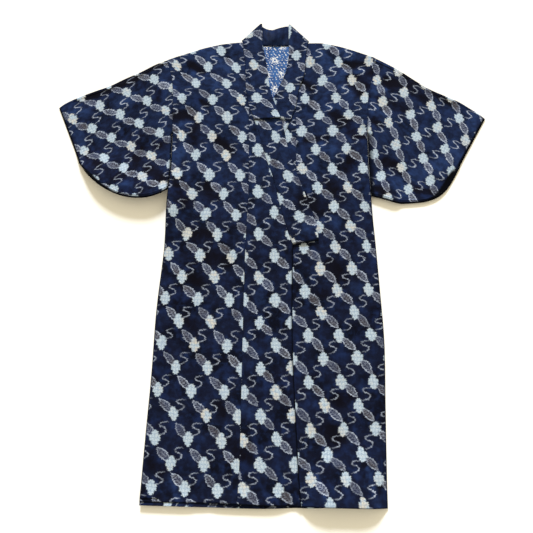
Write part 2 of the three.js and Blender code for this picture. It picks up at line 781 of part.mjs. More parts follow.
const RIGHT = {
  out: -1,
  side: RIGHT_SIDE,
  overlapSeam: RIGHT_OVERLAP_SEAM,
  overlapEdge: RIGHT_OVERLAP_EDGE,
  collar: COLLAR_RIGHT,
  sleeve: SLEEVE_RIGHT,
  frontZ: rightFrontZ,
};
const LEFT = {
  out: 1,
  side: LEFT_SIDE,
  overlapSeam: LEFT_OVERLAP_SEAM,
  overlapEdge: LEFT_OVERLAP_EDGE,
  collar: COLLAR_LEFT,
  sleeve: SLEEVE_LEFT,
  frontZ: leftFrontZ,
};

const WIDE = ACROSS.length;
const stripSolid = loft(
  stripFrames(collarLines(COLLAR_END_Y)).map(stripSection),
  (j) => j >= WIDE,
);
const coverSolid = loft(
  stripFrames(collarLines(COVER_END_Y)).map(coverSection),
  (j) => (j > WIDE + 1 && j < 2 * WIDE + 2) || j > 3 * WIDE + 3,
);

const INDIGO = 0x232a52;
const LINING_BLUE = 0x5f7fae;

const kimono = new THREE.Group();
kimono.name = "kimono";

function piece(name, geometry, colour) {
  const material = new THREE.MeshStandardMaterial({ color: colour, roughness: 0.9, metalness: 0 });
  const mesh = new THREE.Mesh(geometry, material);
  mesh.name = name;
  kimono.add(mesh);
}

for (const [side, half] of [["right", RIGHT], ["left", LEFT]]) {
  const cloth = bodyGrid(half);
  piece(`body_${side}`, clothSolid(cloth.grid, CLOTH, cloth.keep), INDIGO);
  piece(`sleeve_${side}`, sleeveSolid(half), INDIGO);
  piece(`overlap_${side}`, clothSolid(overlapGrid(half), CLOTH), INDIGO);
}
piece("collar", stripSolid, INDIGO);
piece("collar_cover", coverSolid, INDIGO);
piece("lining_back", clothSolid(liningGrid(), LINING_CLOTH), LINING_BLUE);

export default kimono;
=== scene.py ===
import math

import bpy
import numpy as np
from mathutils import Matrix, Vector, noise


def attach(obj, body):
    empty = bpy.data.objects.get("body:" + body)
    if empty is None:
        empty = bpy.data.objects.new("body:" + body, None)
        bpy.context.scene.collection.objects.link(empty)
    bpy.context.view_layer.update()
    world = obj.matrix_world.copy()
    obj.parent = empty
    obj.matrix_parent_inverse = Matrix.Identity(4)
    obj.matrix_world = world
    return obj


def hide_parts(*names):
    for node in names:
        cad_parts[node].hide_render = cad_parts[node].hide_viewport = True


# Kimono laid flat, wearer's right front on top. Blender works in metres, the tables below in millimetres.
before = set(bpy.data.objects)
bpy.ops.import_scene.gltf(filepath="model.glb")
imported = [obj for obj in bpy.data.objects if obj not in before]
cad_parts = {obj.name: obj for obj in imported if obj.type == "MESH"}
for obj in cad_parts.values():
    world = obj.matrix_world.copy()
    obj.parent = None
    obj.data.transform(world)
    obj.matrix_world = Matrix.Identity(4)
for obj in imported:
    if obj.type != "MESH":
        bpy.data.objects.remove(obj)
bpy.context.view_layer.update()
MM = 0.001

# Cloth: its thickness, middle heights of the lower layer, the upper layer and an edge, width of the roll
CLOTH = 1.3
BACK_MID = 0.8
FRONT_MID = 3.9
EDGE_MID = 2.2
ROLL_WIDTH = 13

# Inner and outer face of the folded collar and its cover, from the middle of the fold
COLLAR_INNER = 0.35
COLLAR_HALF = 1.2
COVER_NEAR = 1.6
COVER_FAR = 2.6

# Lining: middle height and thickness
LINING_MID = 2.4
LINING_CLOTH = 0.8

# Camera: looks at the middle of the floor from the hem's side
CAMERA_PLACE = (-16, -528.5, 2085)
CAMERA_TILT = 12.9
CAMERA_ANGLE = 40

# Levels of the garment along Y (the kensaki is the overlap's tip at the collar), and the neck's middle
KENSAKI_Y = 441
COLLAR_END_Y = 12
YOKE_Y = 558
COVER_END_Y = 402
NECKLINE_Y = 657
NECK_CENTRE_X = 12


class Rail:
    """Smooth curve through the rows of a short table: a key column and one value column."""

    def __init__(self, rows, value=1, key=0):
        rows = sorted(rows, key=lambda row: row[key])
        self.keys = np.array([float(row[key]) for row in rows])
        self.values = np.array([float(row[value]) for row in rows])
        last = len(rows) - 1
        before = np.maximum(np.arange(last + 1) - 1, 0)
        after = np.minimum(np.arange(last + 1) + 1, last)
        rise = self.values[after] - self.values[before]
        self.slopes = rise / (self.keys[after] - self.keys[before])

    def __call__(self, at):
        at = np.asarray(at, dtype=float)
        i = np.clip(np.searchsorted(self.keys, at) - 1, 0, len(self.keys) - 2)
        span = self.keys[i + 1] - self.keys[i]
        t = np.clip((at - self.keys[i]) / span, 0, 1)
        m0 = self.slopes[i] * span
        m1 = self.slopes[i + 1] * span
        rise = self.values[i + 1] - self.values[i]
        cubic = m0 + m1 - 2 * rise
        square = 3 * rise - 2 * m0 - m1
        return self.values[i] + t * (m0 + t * (square + t * cubic))


def lerp(a, b, t):
    return a + (b - a) * t


def smooth(t):
    t = np.clip(t, 0, 1)
    return t * t * (3 - 2 * t)


# Rails: y, x
CENTRE_BACK = Rail([(657, 12), (350, 2), (0, -8), (-350, -14), (-735, -22)])
SHOULDER = Rail([(-326, 608), (-286, 623), (-177, 657), (-90, 668), (12, 669), (114, 665), (167, 664),
                 (245, 644), (322, 616)])
FRONT_HEM = Rail([(-360, -707), (-155, -711), (-20, -717), (75, -719), (196, -722), (315, -725)])
BACK_HEM = Rail([(-360, -716), (-155, -722), (-20, -725), (120, -722), (196, -717), (315, -720)])

# Collar stations by the height of the seam side: y, seam x, free x, free y, seam z, free z
COLLAR_RIGHT = [
    (12, 62, 136, 25, 8.6, 7.2),
    (51, 47, 131, 80, 8.8, 7.2),
    (119, 27, 110, 137, 8.8, 7.6),
    (214, 5, 77, 226, 8.8, 8.4),
    (292, -21, 50, 305, 9.6, 9.4),
    (373, -43, 33, 387, 11.8, 11.8),
    (441, -66.5, 15, 437, 11.9, 12.0),
    (505, -79, -7, 505, 10.6, 11.0),
    (572, -81, -16, 576, 8.8, 9.4),
    (623, -86, -24, 624, 8.3, 8.6),
    (666, -89.5, -31, 666, 8.7, 8.7),
]
COLLAR_LEFT = [
    (12, -52, -126, 24, 4.7, 4.7),
    (119, -24, -98, 137, 4.7, 4.7),
    (214, -5, -78, 232, 4.7, 4.7),
    (292, 17, -56, 312, 4.7, 4.7),
    (373, 44, -30, 392, 5.4, 5.4),
    (441, 71.5, -3, 456, 5.9, 5.9),
    (505, 84, 22, 509, 5.9, 6.0),
    (559, 101, 44, 563, 6.2, 6.4),
    (623, 107, 56, 620, 7.4, 7.6),
    (664, 113.5, 56, 664, 8.7, 8.7),
]
COLLAR_WIDTH_AT_NECK = 58
NECK_BACK_MID = 2.9
NECK_FRONT_MID = 8.7

# Back of the collar: x, free y, free z, rise
COLLAR_BACK = [
    (-31, 722, 2.9, 0),
    (-18, 712, 6, 4),
    (2, 705, 10, 9),
    (20, 711, 10, 10),
    (40, 719, 6, 4),
    (55, 722, 2.9, 0),
]

# Sleeve stations: top x, top y, bottom x, bottom y
SLEEVE_RIGHT = [
    (-326, 608, -305, 176),
    (-362, 593, -334, 159),
    (-408, 567, -371, 147),
    (-454, 545, -417, 147),
    (-499, 521, -459, 158),
    (-540, 505, -498, 178),
    (-580, 489, -528, 201),
    (-612, 474, -551, 225),
    (-634, 462, -567, 247),
    (-652, 448, -579, 262),
]
SLEEVE_LEFT = [
    (322, 616, 297, 158),
    (360, 595, 333, 148),
    (398, 572, 371, 137),
    (443, 540, 417, 138),
    (488, 510, 458, 143),
    (533, 488, 493, 156),
    (576, 467, 520, 178),
    (610, 444, 541, 207),
    (634, 427, 557, 235),
    (652, 412, 568, 257),
]
SLEEVE_FREE_GAP = 0.8
SLEEVE_SEWN_TO_Y = 363

# Each half of the garment; its last three entries are widths of painted shade at the open armhole, the cuff
# and the sleeve's lower corner
RIGHT = {
    "out": -1,
    "side": Rail([(608, -326), (576, -314), (505, -305), (422, -303), (260, -304), (156, -309),
                  (9, -316), (-181, -333), (-363, -341), (-539, -352), (-687, -360), (-735, -360)]),
    "overlap_seam": Rail([(441, -69.5), (150, -70), (60, -76), (-152, -82), (-435, -87), (-600, -90),
                          (-735, -97)]),
    "overlap_edge": Rail([(12, 62), (-152, 59), (-296, 59), (-435, 64), (-600, 71), (-735, 78)]),
    "collar": COLLAR_RIGHT,
    "sleeve": SLEEVE_RIGHT,
    "armhole_shade": 0,
    "cuff_shade": 3,
    "corner_shade": 7,
}
LEFT = {
    "out": 1,
    "side": Rail([(616, 322), (555, 311), (512, 302), (455, 295), (334, 291), (159, 295), (9, 305),
                  (-111, 312), (-273, 320), (-452, 317), (-624, 314), (-735, 313)]),
    "overlap_seam": Rail([(441, 74.5), (129, 70), (12, 56), (-152, 51), (-300, 50), (-456, 54), (-600, 58),
                          (-735, 64)]),
    "overlap_edge": Rail([(12, -52), (-300, -57), (-735, -58)]),
    "collar": COLLAR_LEFT,
    "sleeve": SLEEVE_LEFT,
    "armhole_shade": 6,
    "cuff_shade": 5,
    "corner_shade": 17,
}
for half in (RIGHT, LEFT):
    half["collar_seam"] = Rail(half["collar"])

# Where the cloth stands off the floor: x, y, radius across, radius along, turn, height
LIFTS = [
    (190, -765, 129, 240, 0, 37),
    (-300, -770, 140, 110, 0, 20),
    (-80, -770, 140, 110, 0, 16),
    (-440, 160, 220, 150, -12, 34),
    (330, 160, 60, 90, 0, 9),
    (450, 130, 170, 90, 0, 4),
]

# Soft ridges of the upper layer, as in the solids: x0, y0, x1, y1, half width, height
RIDGES = [
    (214, 560, 280, 400, 26, 4.5),
    (-220, 520, -290, 470, 24, 3.5),
    (-200, 250, -220, -250, 46, 2.5),
    (190, 150, 200, -350, 44, 2.5),
    (-420, 500, -390, 240, 46, 3.0),
    (-560, 430, -500, 260, 40, 3.0),
    (400, 500, 380, 220, 46, 3.0),
    (560, 400, 500, 240, 40, 3.0),
]

# Folds of the upper layer: x0, y0, x1, y1, half width, ridge (+) or trough (-); that number also sets the
# painted light on a ridge and the painted shade in a trough
FOLDS = [
    (222, 590, 290, 592, 18, -1.0), (255, 545, 285, 505, 38, -1.0), (330, 585, 300, 560, 18, -0.8),
    (360, 530, 420, 525, 34, -1.0), (390, 570, 500, 500, 22, -1.0), (440, 495, 475, 475, 26, -0.8),
    (520, 480, 560, 460, 18, -0.8), (330, 475, 350, 440, 18, -0.8), (370, 460, 410, 440, 30, -0.6),
    (190, 430, 210, 400, 26, -1.0), (230, 410, 240, 370, 24, -0.7), (308, 408, 328, 392, 16, -1.0),
    (105, 342, 165, 350, 15, -0.9), (250, 350, 292, 352, 15, -0.8), (340, 275, 385, 248, 26, -0.9),
    (220, 250, 240, 300, 26, -0.7), (170, 205, 200, 160, 30, -0.7), (95, 150, 150, 130, 36, -0.8),
    (430, 180, 485, 172, 16, -0.9), (314, 184, 345, 168, 15, -1.0), (95, 530, 125, 515, 18, -0.9),
    (150, 625, 172, 590, 30, 0.8), (220, 642, 245, 622, 24, 0.8), (225, 566, 280, 566, 13, 0.9),
    (185, 540, 212, 552, 22, 0.9), (215, 512, 242, 485, 18, 0.9), (298, 502, 345, 508, 18, 0.8),
    (168, 440, 205, 452, 15, 0.9), (365, 602, 405, 578, 20, 0.7), (310, 440, 345, 428, 24, 0.4),
    (620, 430, 605, 380, 18, 0.8), (430, 230, 520, 265, 40, 0.5), (540, 325, 565, 280, 30, 0.5),
    (370, 205, 405, 170, 26, 0.7), (150, 320, 190, 312, 24, 0.4), (-395, 570, -340, 597, 16, -1.0),
    (-485, 518, -415, 548, 18, -1.0), (-575, 478, -505, 500, 16, -1.0), (-250, 592, -215, 565, 20, -1.0),
    (-295, 420, -240, 425, 25, -1.0), (-218, 472, -198, 455, 14, -0.8), (-180, 352, -125, 305, 25, -0.9),
    (-230, 400, -240, 340, 24, -0.7), (-365, 242, -325, 208, 26, -1.0), (-320, 330, -345, 320, 20, -0.8),
    (-400, 310, -410, 260, 25, -0.7), (-440, 215, -465, 208, 16, -0.8), (-560, 300, -515, 250, 18, -0.6),
    (-290, 200, -260, 150, 34, -0.6), (-200, 190, -170, 158, 30, -0.6), (-345, 505, -352, 470, 14, -0.8),
    (-155, 592, -128, 578, 28, 0.9), (-215, 642, -185, 620, 26, 0.8), (-245, 560, -200, 550, 13, 0.8),
    (-335, 532, -290, 500, 14, 0.7), (-430, 482, -475, 458, 28, 0.5), (-565, 430, -620, 440, 26, 0.5),
    (-270, 312, -292, 288, 26, 0.9), (-275, 394, -240, 396, 10, 0.7), (-185, 532, -165, 518, 20, 0.6),
    (-592, 372, -570, 320, 26, 0.4), (-450, 190, -420, 188, 16, 0.6), (-250, 52, -190, 45, 30, -0.7),
    (-180, -30, -135, -36, 32, -0.9), (-235, -85, -205, -100, 24, -0.6), (-245, -205, -220, -232, 26, -0.6),
    (-152, -450, -140, -472, 24, -0.7), (170, -48, 200, -82, 30, -1.0), (150, -505, 180, -545, 40, -0.6),
    (188, -442, 222, -418, 30, -0.6), (128, -118, 152, -132, 26, -0.5), (-110, -560, -62, -602, 26, -0.5),
    (-335, -608, -305, -622, 26, -0.5), (100, 60, 132, 72, 22, 0.5), (-42, -130, -28, -155, 26, 0.3),
    (165, 92, 192, 80, 26, 0.3), (-55, -470, -85, -458, 22, 0.4), (250, -132, 240, -108, 20, 0.3),
    (120, -640, 150, -725, 14, 0.6), (260, -620, 285, -720, 14, 0.5), (-280, -640, -250, -715, 14, 0.4),
]
RIDGE_HEIGHT = 1.7
TROUGH_DEPTH = 1.2

# How far the right front climbs over the left one
CLIMB = Rail([(668, 2.6), (600, 3.2), (505, 5.6), (441, 6.8), (373, 6.6), (292, 4.8), (12, 4.2),
              (-60, 2.8), (-500, 3.2), (-640, 4.6), (-735, 5.2)])
CLIMB_FROM_X = -225
CLIMB_TO_X = -128
NECK_CLIMB = 2.6
NECK_CLIMB_FROM_X = 210
NECK_CLIMB_TO_X = 120
NECK_CLIMB_Y = 560
NECK_CLIMB_BLEND = 80


def lift_at(x, y):
    """Height of the lower layer above the floor."""
    total = np.zeros(np.broadcast(x, y).shape)
    for cx, cy, rx, ry, turn, high in LIFTS:
        angle = math.radians(turn)
        dx = x - cx
        dy = y - cy
        u = (dx * math.cos(angle) + dy * math.sin(angle)) / rx
        v = (dy * math.cos(angle) - dx * math.sin(angle)) / ry
        total = total + high * np.maximum(1 - np.abs(u) ** 5 - v * v, 0) ** 2
    return total


def ridges_at(x, y, table):
    """Height of soft ridges and troughs, each around a straight run."""
    total = np.zeros(np.broadcast(x, y).shape)
    for x0, y0, x1, y1, wide, high in table:
        ax = x1 - x0
        ay = y1 - y0
        along = np.clip(((x - x0) * ax + (y - y0) * ay) / (ax * ax + ay * ay), 0, 1)
        off = np.hypot(x - x0 - along * ax, y - y0 - along * ay)
        total = total + high * np.maximum(1 - (off / wide) ** 2, 0) ** 2
    return total


# Unevenness of washed cotton: wave length, height, stretch along the warp
RUMPLE = [(95, 1.5, 0.6), (42, 0.6, 0.8), (19, 0.22, 1.0)]


def rumple_at(x, y, seed):
    """Small waves all over, always upwards so that layers stay apart."""
    x, y = np.broadcast_arrays(x, y)
    total = np.zeros(x.shape)
    flat_x = x.ravel()
    flat_y = y.ravel()
    out = np.empty(flat_x.size)
    for length, high, stretch in RUMPLE:
        for i in range(flat_x.size):
            place = Vector((flat_x[i] / length, flat_y[i] * stretch / length, seed + length))
            out[i] = noise.noise(place)
        total += high * (out.reshape(x.shape) + 0.5)
    return total


def front_z(half, x, y):
    """Middle height of the upper layer on one half of the body."""
    base = FRONT_MID + lift_at(x, y) + ridges_at(x, y, RIDGES)
    if half is RIGHT:
        share = smooth((x - CLIMB_FROM_X) / (CLIMB_TO_X - CLIMB_FROM_X))
        return base + CLIMB(y) * share
    share = smooth((x - NECK_CLIMB_FROM_X) / (NECK_CLIMB_TO_X - NECK_CLIMB_FROM_X))
    return base + NECK_CLIMB * share * smooth((y - NECK_CLIMB_Y) / NECK_CLIMB_BLEND)


def relief(x, y, seed):
    """Folds and small waves of the upper layer."""
    folds = ridges_at(x, y, FOLDS)
    return np.where(folds > 0, folds * RIDGE_HEIGHT, folds * TROUGH_DEPTH) + rumple_at(x, y, seed)


# Ikat lattice: one flower per lattice cell, repeats across and along the cloth
REPEAT_ACROSS = 92
REPEAT_ALONG = 131

# Where a leaf sits below each flower, and how far the curl has slipped, because each length was tied anew
MOTIFS = {
    "body_right": (24, -44, 6),
    "body_left": (26, -24, 0),
    "overlap_right": (21, -20, 2),
    "overlap_left": (25, -22, 0),
    "sleeve_right": (20, -40, 3),
    "sleeve_left": (24, -26, 0),
    "collar": (25, -22, 0),
    "collar_cover": (25, -20, 0),
}

# Where a flower sits on each panel, and how its threads lie: x, y, turn of weft, turn of warp, stretch
LATTICES = {
    "front_right": (-294.9, 116.3, -2.53, -2.53, 1.0),
    "front_left": (142.3, -59.3, 1.05, 1.05, 1.0),
    "overlap_right": (-38.3, 45.1, 0.62, 0.62, 1.0),
    "overlap_left": (98, 30, 0.8, 0.8, 1.0),
    "sleeve_right": (-605.9, 410.2, 28.5, 21.5, 0.85),
    "sleeve_left": (342.3, 467.4, -27.3, -26.0, 0.85),
}

# How far the pattern of each front is drawn aside and down by its gathers, by height
GATHERS = {
    "front_right": [(660, -25, -62), (575, -18, -51), (520, -3, -43), (483, 2, -33), (430, 9, -27),
                    (370, 11, -23), (318, 11, -19), (205, 10, -12), (140, 8, -8), (0, 0, 0), (-735, 0, 0)],
    "front_left": [(660, 46, -65), (590, 34, -59), (500, 22, -54), (430, 13, -44), (390, 7, -30),
                   (330, 1, -24), (150, 0, -10), (0, 0, 0), (-735, 0, 0)],
}


def lattice(name, x, y):
    """Cloth coordinates of a place on a panel, in millimetres, with a flower at the origin."""
    ox, oy, weft, warp, stretch = LATTICES[name]
    if name in GATHERS:
        x = x - Rail(GATHERS[name], 1)(y)
        y = y - Rail(GATHERS[name], 2)(y)
    ex = (math.cos(math.radians(weft)), math.sin(math.radians(weft)))
    ey = (-math.sin(math.radians(warp)) * stretch, math.cos(math.radians(warp)) * stretch)
    area = ex[0] * ey[1] - ex[1] * ey[0]
    dx = x - ox
    dy = y - oy
    return (dx * ey[1] - dy * ey[0]) / area, (dy * ex[0] - dx * ex[1]) / area


def add_object(name, data):
    obj = bpy.data.objects.new(name, data)
    bpy.context.collection.objects.link(obj)
    return obj


def add_vectors(mesh, name, values):
    attribute = mesh.attributes.new(name, "FLOAT_VECTOR", "POINT")
    attribute.data.foreach_set("vector", np.asarray(values, dtype=np.float32).ravel())


def make_mesh(name, points, faces, cloth, shade, material):
    """Blender object from corners in millimetres; cloth is each corner's place on the flat cloth."""
    mesh = bpy.data.meshes.new(name)
    mesh.from_pydata((points * MM).tolist(), [], faces)
    add_vectors(mesh, "cloth", cloth)
    add_vectors(mesh, "shade", shade)
    if name in MOTIFS:
        add_vectors(mesh, "motif", np.tile(MOTIFS[name], (len(cloth), 1)))
    mesh.polygons.foreach_set("use_smooth", [True] * len(mesh.polygons))
    mesh.update()
    mesh.materials.append(material)
    return add_object("cloth_" + name, mesh)


def shell_faces(rows, columns, keep, around=False):
    """Faces of a wall on a grid: outer corners come first, then the inner ones."""
    wide = columns if around else columns - 1
    here = np.ones((rows - 1, wide), bool) if keep is None else keep
    count = rows * columns
    faces = []

    def present(i, j):
        if around:
            j %= wide
        return 0 <= i < rows - 1 and 0 <= j < wide and here[i, j]

    for i in range(rows - 1):
        for j in range(wide):
            if not here[i, j]:
                continue
            a = i * columns + j
            b = i * columns + (j + 1) % columns
            c = b + columns
            d = a + columns
            faces.append((a, b, c, d))
            faces.append((a + count, d + count, c + count, b + count))
            for p, q, row, column in ((b, a, i - 1, j), (d, c, i + 1, j), (a, d, i, j - 1), (c, b, i, j + 1)):
                if not present(row, column):
                    faces.append((p, q, q + count, p + count))
    return faces


def turn_outwards(obj):
    """Flips the faces if the closed wall came out inside out."""
    if sum(face.center.dot(face.normal) * face.area for face in obj.data.polygons) < 0:
        obj.data.flip_normals()


# Painted light on the ground: how much at the shoulders, where it sets in and over which height, and how much
# on a fold
UPPER_GLOW = 0.40
UPPER_GLOW_FROM_Y = -50
UPPER_GLOW_RISE = 450
FOLD_GLOW = 1.45

# How much less painted light the right sleeve gets, from where and over which width
SLEEVE_GLOW_LOSS = 0.22
SLEEVE_GLOW_X = -330
SLEEVE_GLOW_BLEND = 60


def painted_light_at(x, y):
    """Painted light on the ground: -1 for painted shade in the troughs, 1 on the ridges, more towards the
    shoulders.
    """
    upper = smooth((y - UPPER_GLOW_FROM_Y) / UPPER_GLOW_RISE) * UPPER_GLOW
    loss = smooth((SLEEVE_GLOW_X - x) / SLEEVE_GLOW_BLEND) * SLEEVE_GLOW_LOSS
    return np.clip(upper - loss + ridges_at(x, y, FOLDS) * FOLD_GLOW, -1, 1)


def cloth_piece(name, middle, normal, place, seed, material, thickness=CLOTH, keep=None, around=False,
                edge_light=1.0, pattern_shaded_out=0.0):
    """Thin wall of cloth around a grid of middle points, each with its place on the flat cloth.

    The edge value is 0 where an edge rolls under and is painted black as shade; the pattern value is 1 where
    painted shade hides the pattern."""
    grid = middle.shape[:2]
    outer = middle + normal * thickness / 2
    inner = middle - normal * thickness / 2
    points = np.concatenate([outer.reshape(-1, 3), inner.reshape(-1, 3)])
    cloth = np.stack([*place, np.full(grid, float(seed))], -1).reshape(-1, 3)
    glow = painted_light_at(middle[..., 0], middle[..., 1])
    shade = np.stack([np.broadcast_to(edge_light, grid), glow, np.broadcast_to(pattern_shaded_out, grid)], -1).reshape(-1, 3)
    faces = np.array(shell_faces(*grid, keep, around))
    used = np.unique(faces)
    faces = np.searchsorted(used, faces).tolist()
    both = [np.tile(values, (2, 1))[used] for values in (cloth, shade)]
    obj = make_mesh(name, points[used], faces, *both, material)
    turn_outwards(obj)
    return obj


# Mesh fineness
FINE = 1.0
FRONT_ROWS = int(200 * FINE)
BACK_ROWS = int(90 * FINE)
OVERLAP_ROWS = int(165 * FINE)
BODY_COLUMNS = int(34 * FINE)
OVERLAP_COLUMNS = int(14 * FINE) + 2
SLEEVE_STATIONS = int(46 * FINE)
SLEEVE_COLUMNS = int(64 * FINE)
LINING_ROWS = int(34 * FINE)
LINING_COLUMNS = int(26 * FINE)
NECK_COLUMNS = 14
YOKE_ROWS = 12
HEM_STEPS = (0, 1.5, 4, 8)
LAST_ROW_Y = -700
HEM_RAIL_Y = -720

# Columns beside a panel's edges, start of the even ones, and usual widths of body and overlap panels
EDGE_COLUMNS = (1.5, 3.5, 7, 12)
EVEN_FROM = 16
BODY_WIDTH = 240
OVERLAP_WIDTH = 140

# Angles round a fold, how far it bulges, and how far top and bottom folds lie inside their rails
FOLD_ANGLES = (-68, -45, -22, 0, 22, 45, 68)
FOLD_REACH = 1.5
FOLD_INSET = 2.3
SLEEVE_BOTTOM_INSET = 4

# Rolls of the edges: width at a hem and at an overlap's edge, drop of a body hem and of an overlap's edge
HEM_ROLL = 5
OVERLAP_ROLL = 6
HEM_DROP = 1.2
OVERLAP_DROP = 0.9

# Widths over which the painted shade of an edge fades out: side, hem, overlap's free edge and its start,
# armhole
SIDE_DARK = 4
HEM_DARK = 3
OVERLAP_DARK = 3.5
OVERLAP_DARK_FROM = 1.5
ARMHOLE_DARK = 9

# Width of the valley beside a seam
SEAM_VALLEY = 7

# Blend from the open armhole to the sewn one, along Y, and how much less painted shade the sewn one gets
SEWN_BLEND = 30
SEWN_LIGHT = 3


def spread(count, width):
    """Shares from 0 to 1, closer together near both edges of a panel of this width."""
    near = np.array([0, *EDGE_COLUMNS]) / width
    start = EVEN_FROM / width
    return np.concatenate([near, np.linspace(start, 1 - start, count), 1 - near[::-1]])


def straight(points, sign=1):
    """Facings straight up, or down where sign is -1, for a grid of points."""
    normal = np.zeros(points.shape)
    normal[..., 2] = sign
    return normal


def unroll(y, top, behind):
    """Height on one length of cloth that turns over at the top and runs down behind."""
    return np.where(behind, 2 * top - y, y)


def front_edge(half, y):
    return np.where(y <= KENSAKI_Y, half["overlap_seam"](y), half["collar_seam"](y))


def roll_edge(z, low, distance, width=ROLL_WIDTH):
    """Lets the upper layer roll down to the lower one at a free or sewn edge."""
    t = np.clip(distance / width, 0, 1)
    return lerp(low, z, np.sqrt(np.maximum(1 - (1 - t) ** 2, 0)))


def seam_dip(distance):
    """The slight valley beside a seam."""
    return -np.maximum(1 - distance / SEAM_VALLEY, 0) ** 2


def edge_shade_ramp(distance, width):
    """Painted shade at an edge: 0, painted black, on an edge that rolls under, 1 from the given width
    inwards.
    """
    return smooth(distance / width)


def distance_from(x, y, edge_x, edge_y):
    """Distance of each point of a grid from the nearest point of an edge."""
    return np.min(np.hypot(x[..., None] - edge_x, y[..., None] - edge_y), -1)


def turn_rows(low, high, side):
    """Rows that carry cloth round a fold from a lower row to an upper one."""
    rows = []
    normals = []
    for degrees in FOLD_ANGLES:
        angle = math.radians(degrees)
        row = lerp(low, high, (1 + math.sin(angle)) / 2)
        row[:, 1] += side * FOLD_REACH * math.cos(angle)
        rows.append(row)
        normals.append(np.tile([0, side * math.cos(angle), math.sin(angle)], (len(low), 1)))
    return np.array(rows), np.array(normals)


def rows_below_yoke(x_at, hem, count):
    """Rows of a body panel from its hem to the yoke, each as x and y of its points."""
    x = x_at(HEM_RAIL_Y)
    rows = [(x, hem(x) + step) for step in HEM_STEPS]
    return rows + [(x_at(y), np.full(len(x), y)) for y in np.linspace(LAST_ROW_Y, YOKE_Y, count)]


def body_rows(half):
    """Back rows from hem to shoulder, front rows from shoulder to hem, and how many columns the front has."""
    side_x = half["sleeve"][0][0]
    neck_share = (half["collar"][-1][1] - side_x) / (NECK_CENTRE_X - side_x)
    front = spread(BODY_COLUMNS, BODY_WIDTH)
    beyond = np.linspace(neck_share, 1, NECK_COLUMNS + 1)[1:]
    back_across = np.concatenate([front * neck_share, beyond])
    front_across = np.concatenate([front, np.ones(NECK_COLUMNS)])
    is_front = np.arange(len(back_across)) < len(front)

    def back_x(y):
        return lerp(half["side"](y), CENTRE_BACK(y), back_across)

    def front_x(y):
        return lerp(half["side"](y), front_edge(half, y), front_across)

    top_x = lerp(side_x, NECK_CENTRE_X, back_across)
    top_y = np.where(is_front, SHOULDER(top_x) - FOLD_INSET, NECKLINE_Y)
    back_rows = rows_below_yoke(back_x, BACK_HEM, BACK_ROWS)
    front_rows = rows_below_yoke(front_x, FRONT_HEM, FRONT_ROWS)
    for k in range(1, YOKE_ROWS + 1):
        t = k / YOKE_ROWS
        y = lerp(YOKE_Y, top_y, t)
        back_rows.append((lerp(back_x(YOKE_Y), top_x, t), y))
        x = lerp(front_x(YOKE_Y), top_x, t)
        front_rows.append((np.where(front_across == 1, half["collar_seam"](y), x), y))
    return np.array(back_rows), np.array(front_rows[::-1]), len(front)


def body_front(half, x, y, seed):
    """Heights of the upper layer with its folds, seams and rolled edges, and its painted shade along the open
    side and the hem.
    """
    sewn = smooth((y - SLEEVE_SEWN_TO_Y) / SEWN_BLEND)
    beside = np.abs(x - half["side"](y))
    above_hem = y - FRONT_HEM(x)
    low = EDGE_MID + lift_at(x, y)
    z = front_z(half, x, y) + relief(x, y, seed)
    z = roll_edge(z, low, beside + ROLL_WIDTH * sewn) + seam_dip(beside) * sewn
    z = np.maximum(roll_edge(z, z - HEM_DROP, above_hem, HEM_ROLL), low)
    z = z + seam_dip(np.abs(x - front_edge(half, y)))
    return z, edge_shade_ramp(beside + SEWN_LIGHT * sewn, SIDE_DARK) * edge_shade_ramp(above_hem, HEM_DARK)


def body_piece(half, name, front_name, seed, material):
    """Back panel, shoulder fold and front panel of one half, as one length of cloth."""
    back_rows, front_rows, front_columns = body_rows(half)
    bx = back_rows[:, 0]
    by = back_rows[:, 1]
    fx = front_rows[:, 0]
    fy = front_rows[:, 1]
    fz, front_edge_light = body_front(half, fx, fy, seed)
    back = np.stack([bx, by, BACK_MID + lift_at(bx, by)], -1)
    front = np.stack([fx, fy, fz], -1)
    fold, fold_normal = turn_rows(back[-1], front[0], 1)
    middle = np.concatenate([back, fold, front])
    normal = np.concatenate([straight(back, -1), fold_normal, straight(front)])
    # Painted shade only on the front's edges
    edge_light = np.ones(middle.shape[:2])
    edge_light[-len(front):] = front_edge_light
    behind = np.arange(len(middle))[:, None] < len(back)
    unrolled = unroll(middle[..., 1], SHOULDER(middle[..., 0]), behind)
    place = lattice(front_name, middle[..., 0], unrolled)
    keep = np.ones((len(middle) - 1, middle.shape[1] - 1), bool)
    keep[len(back) - 1:, front_columns - 1:] = False
    return cloth_piece(name, middle, normal, place, seed, material, keep=keep, edge_light=edge_light)


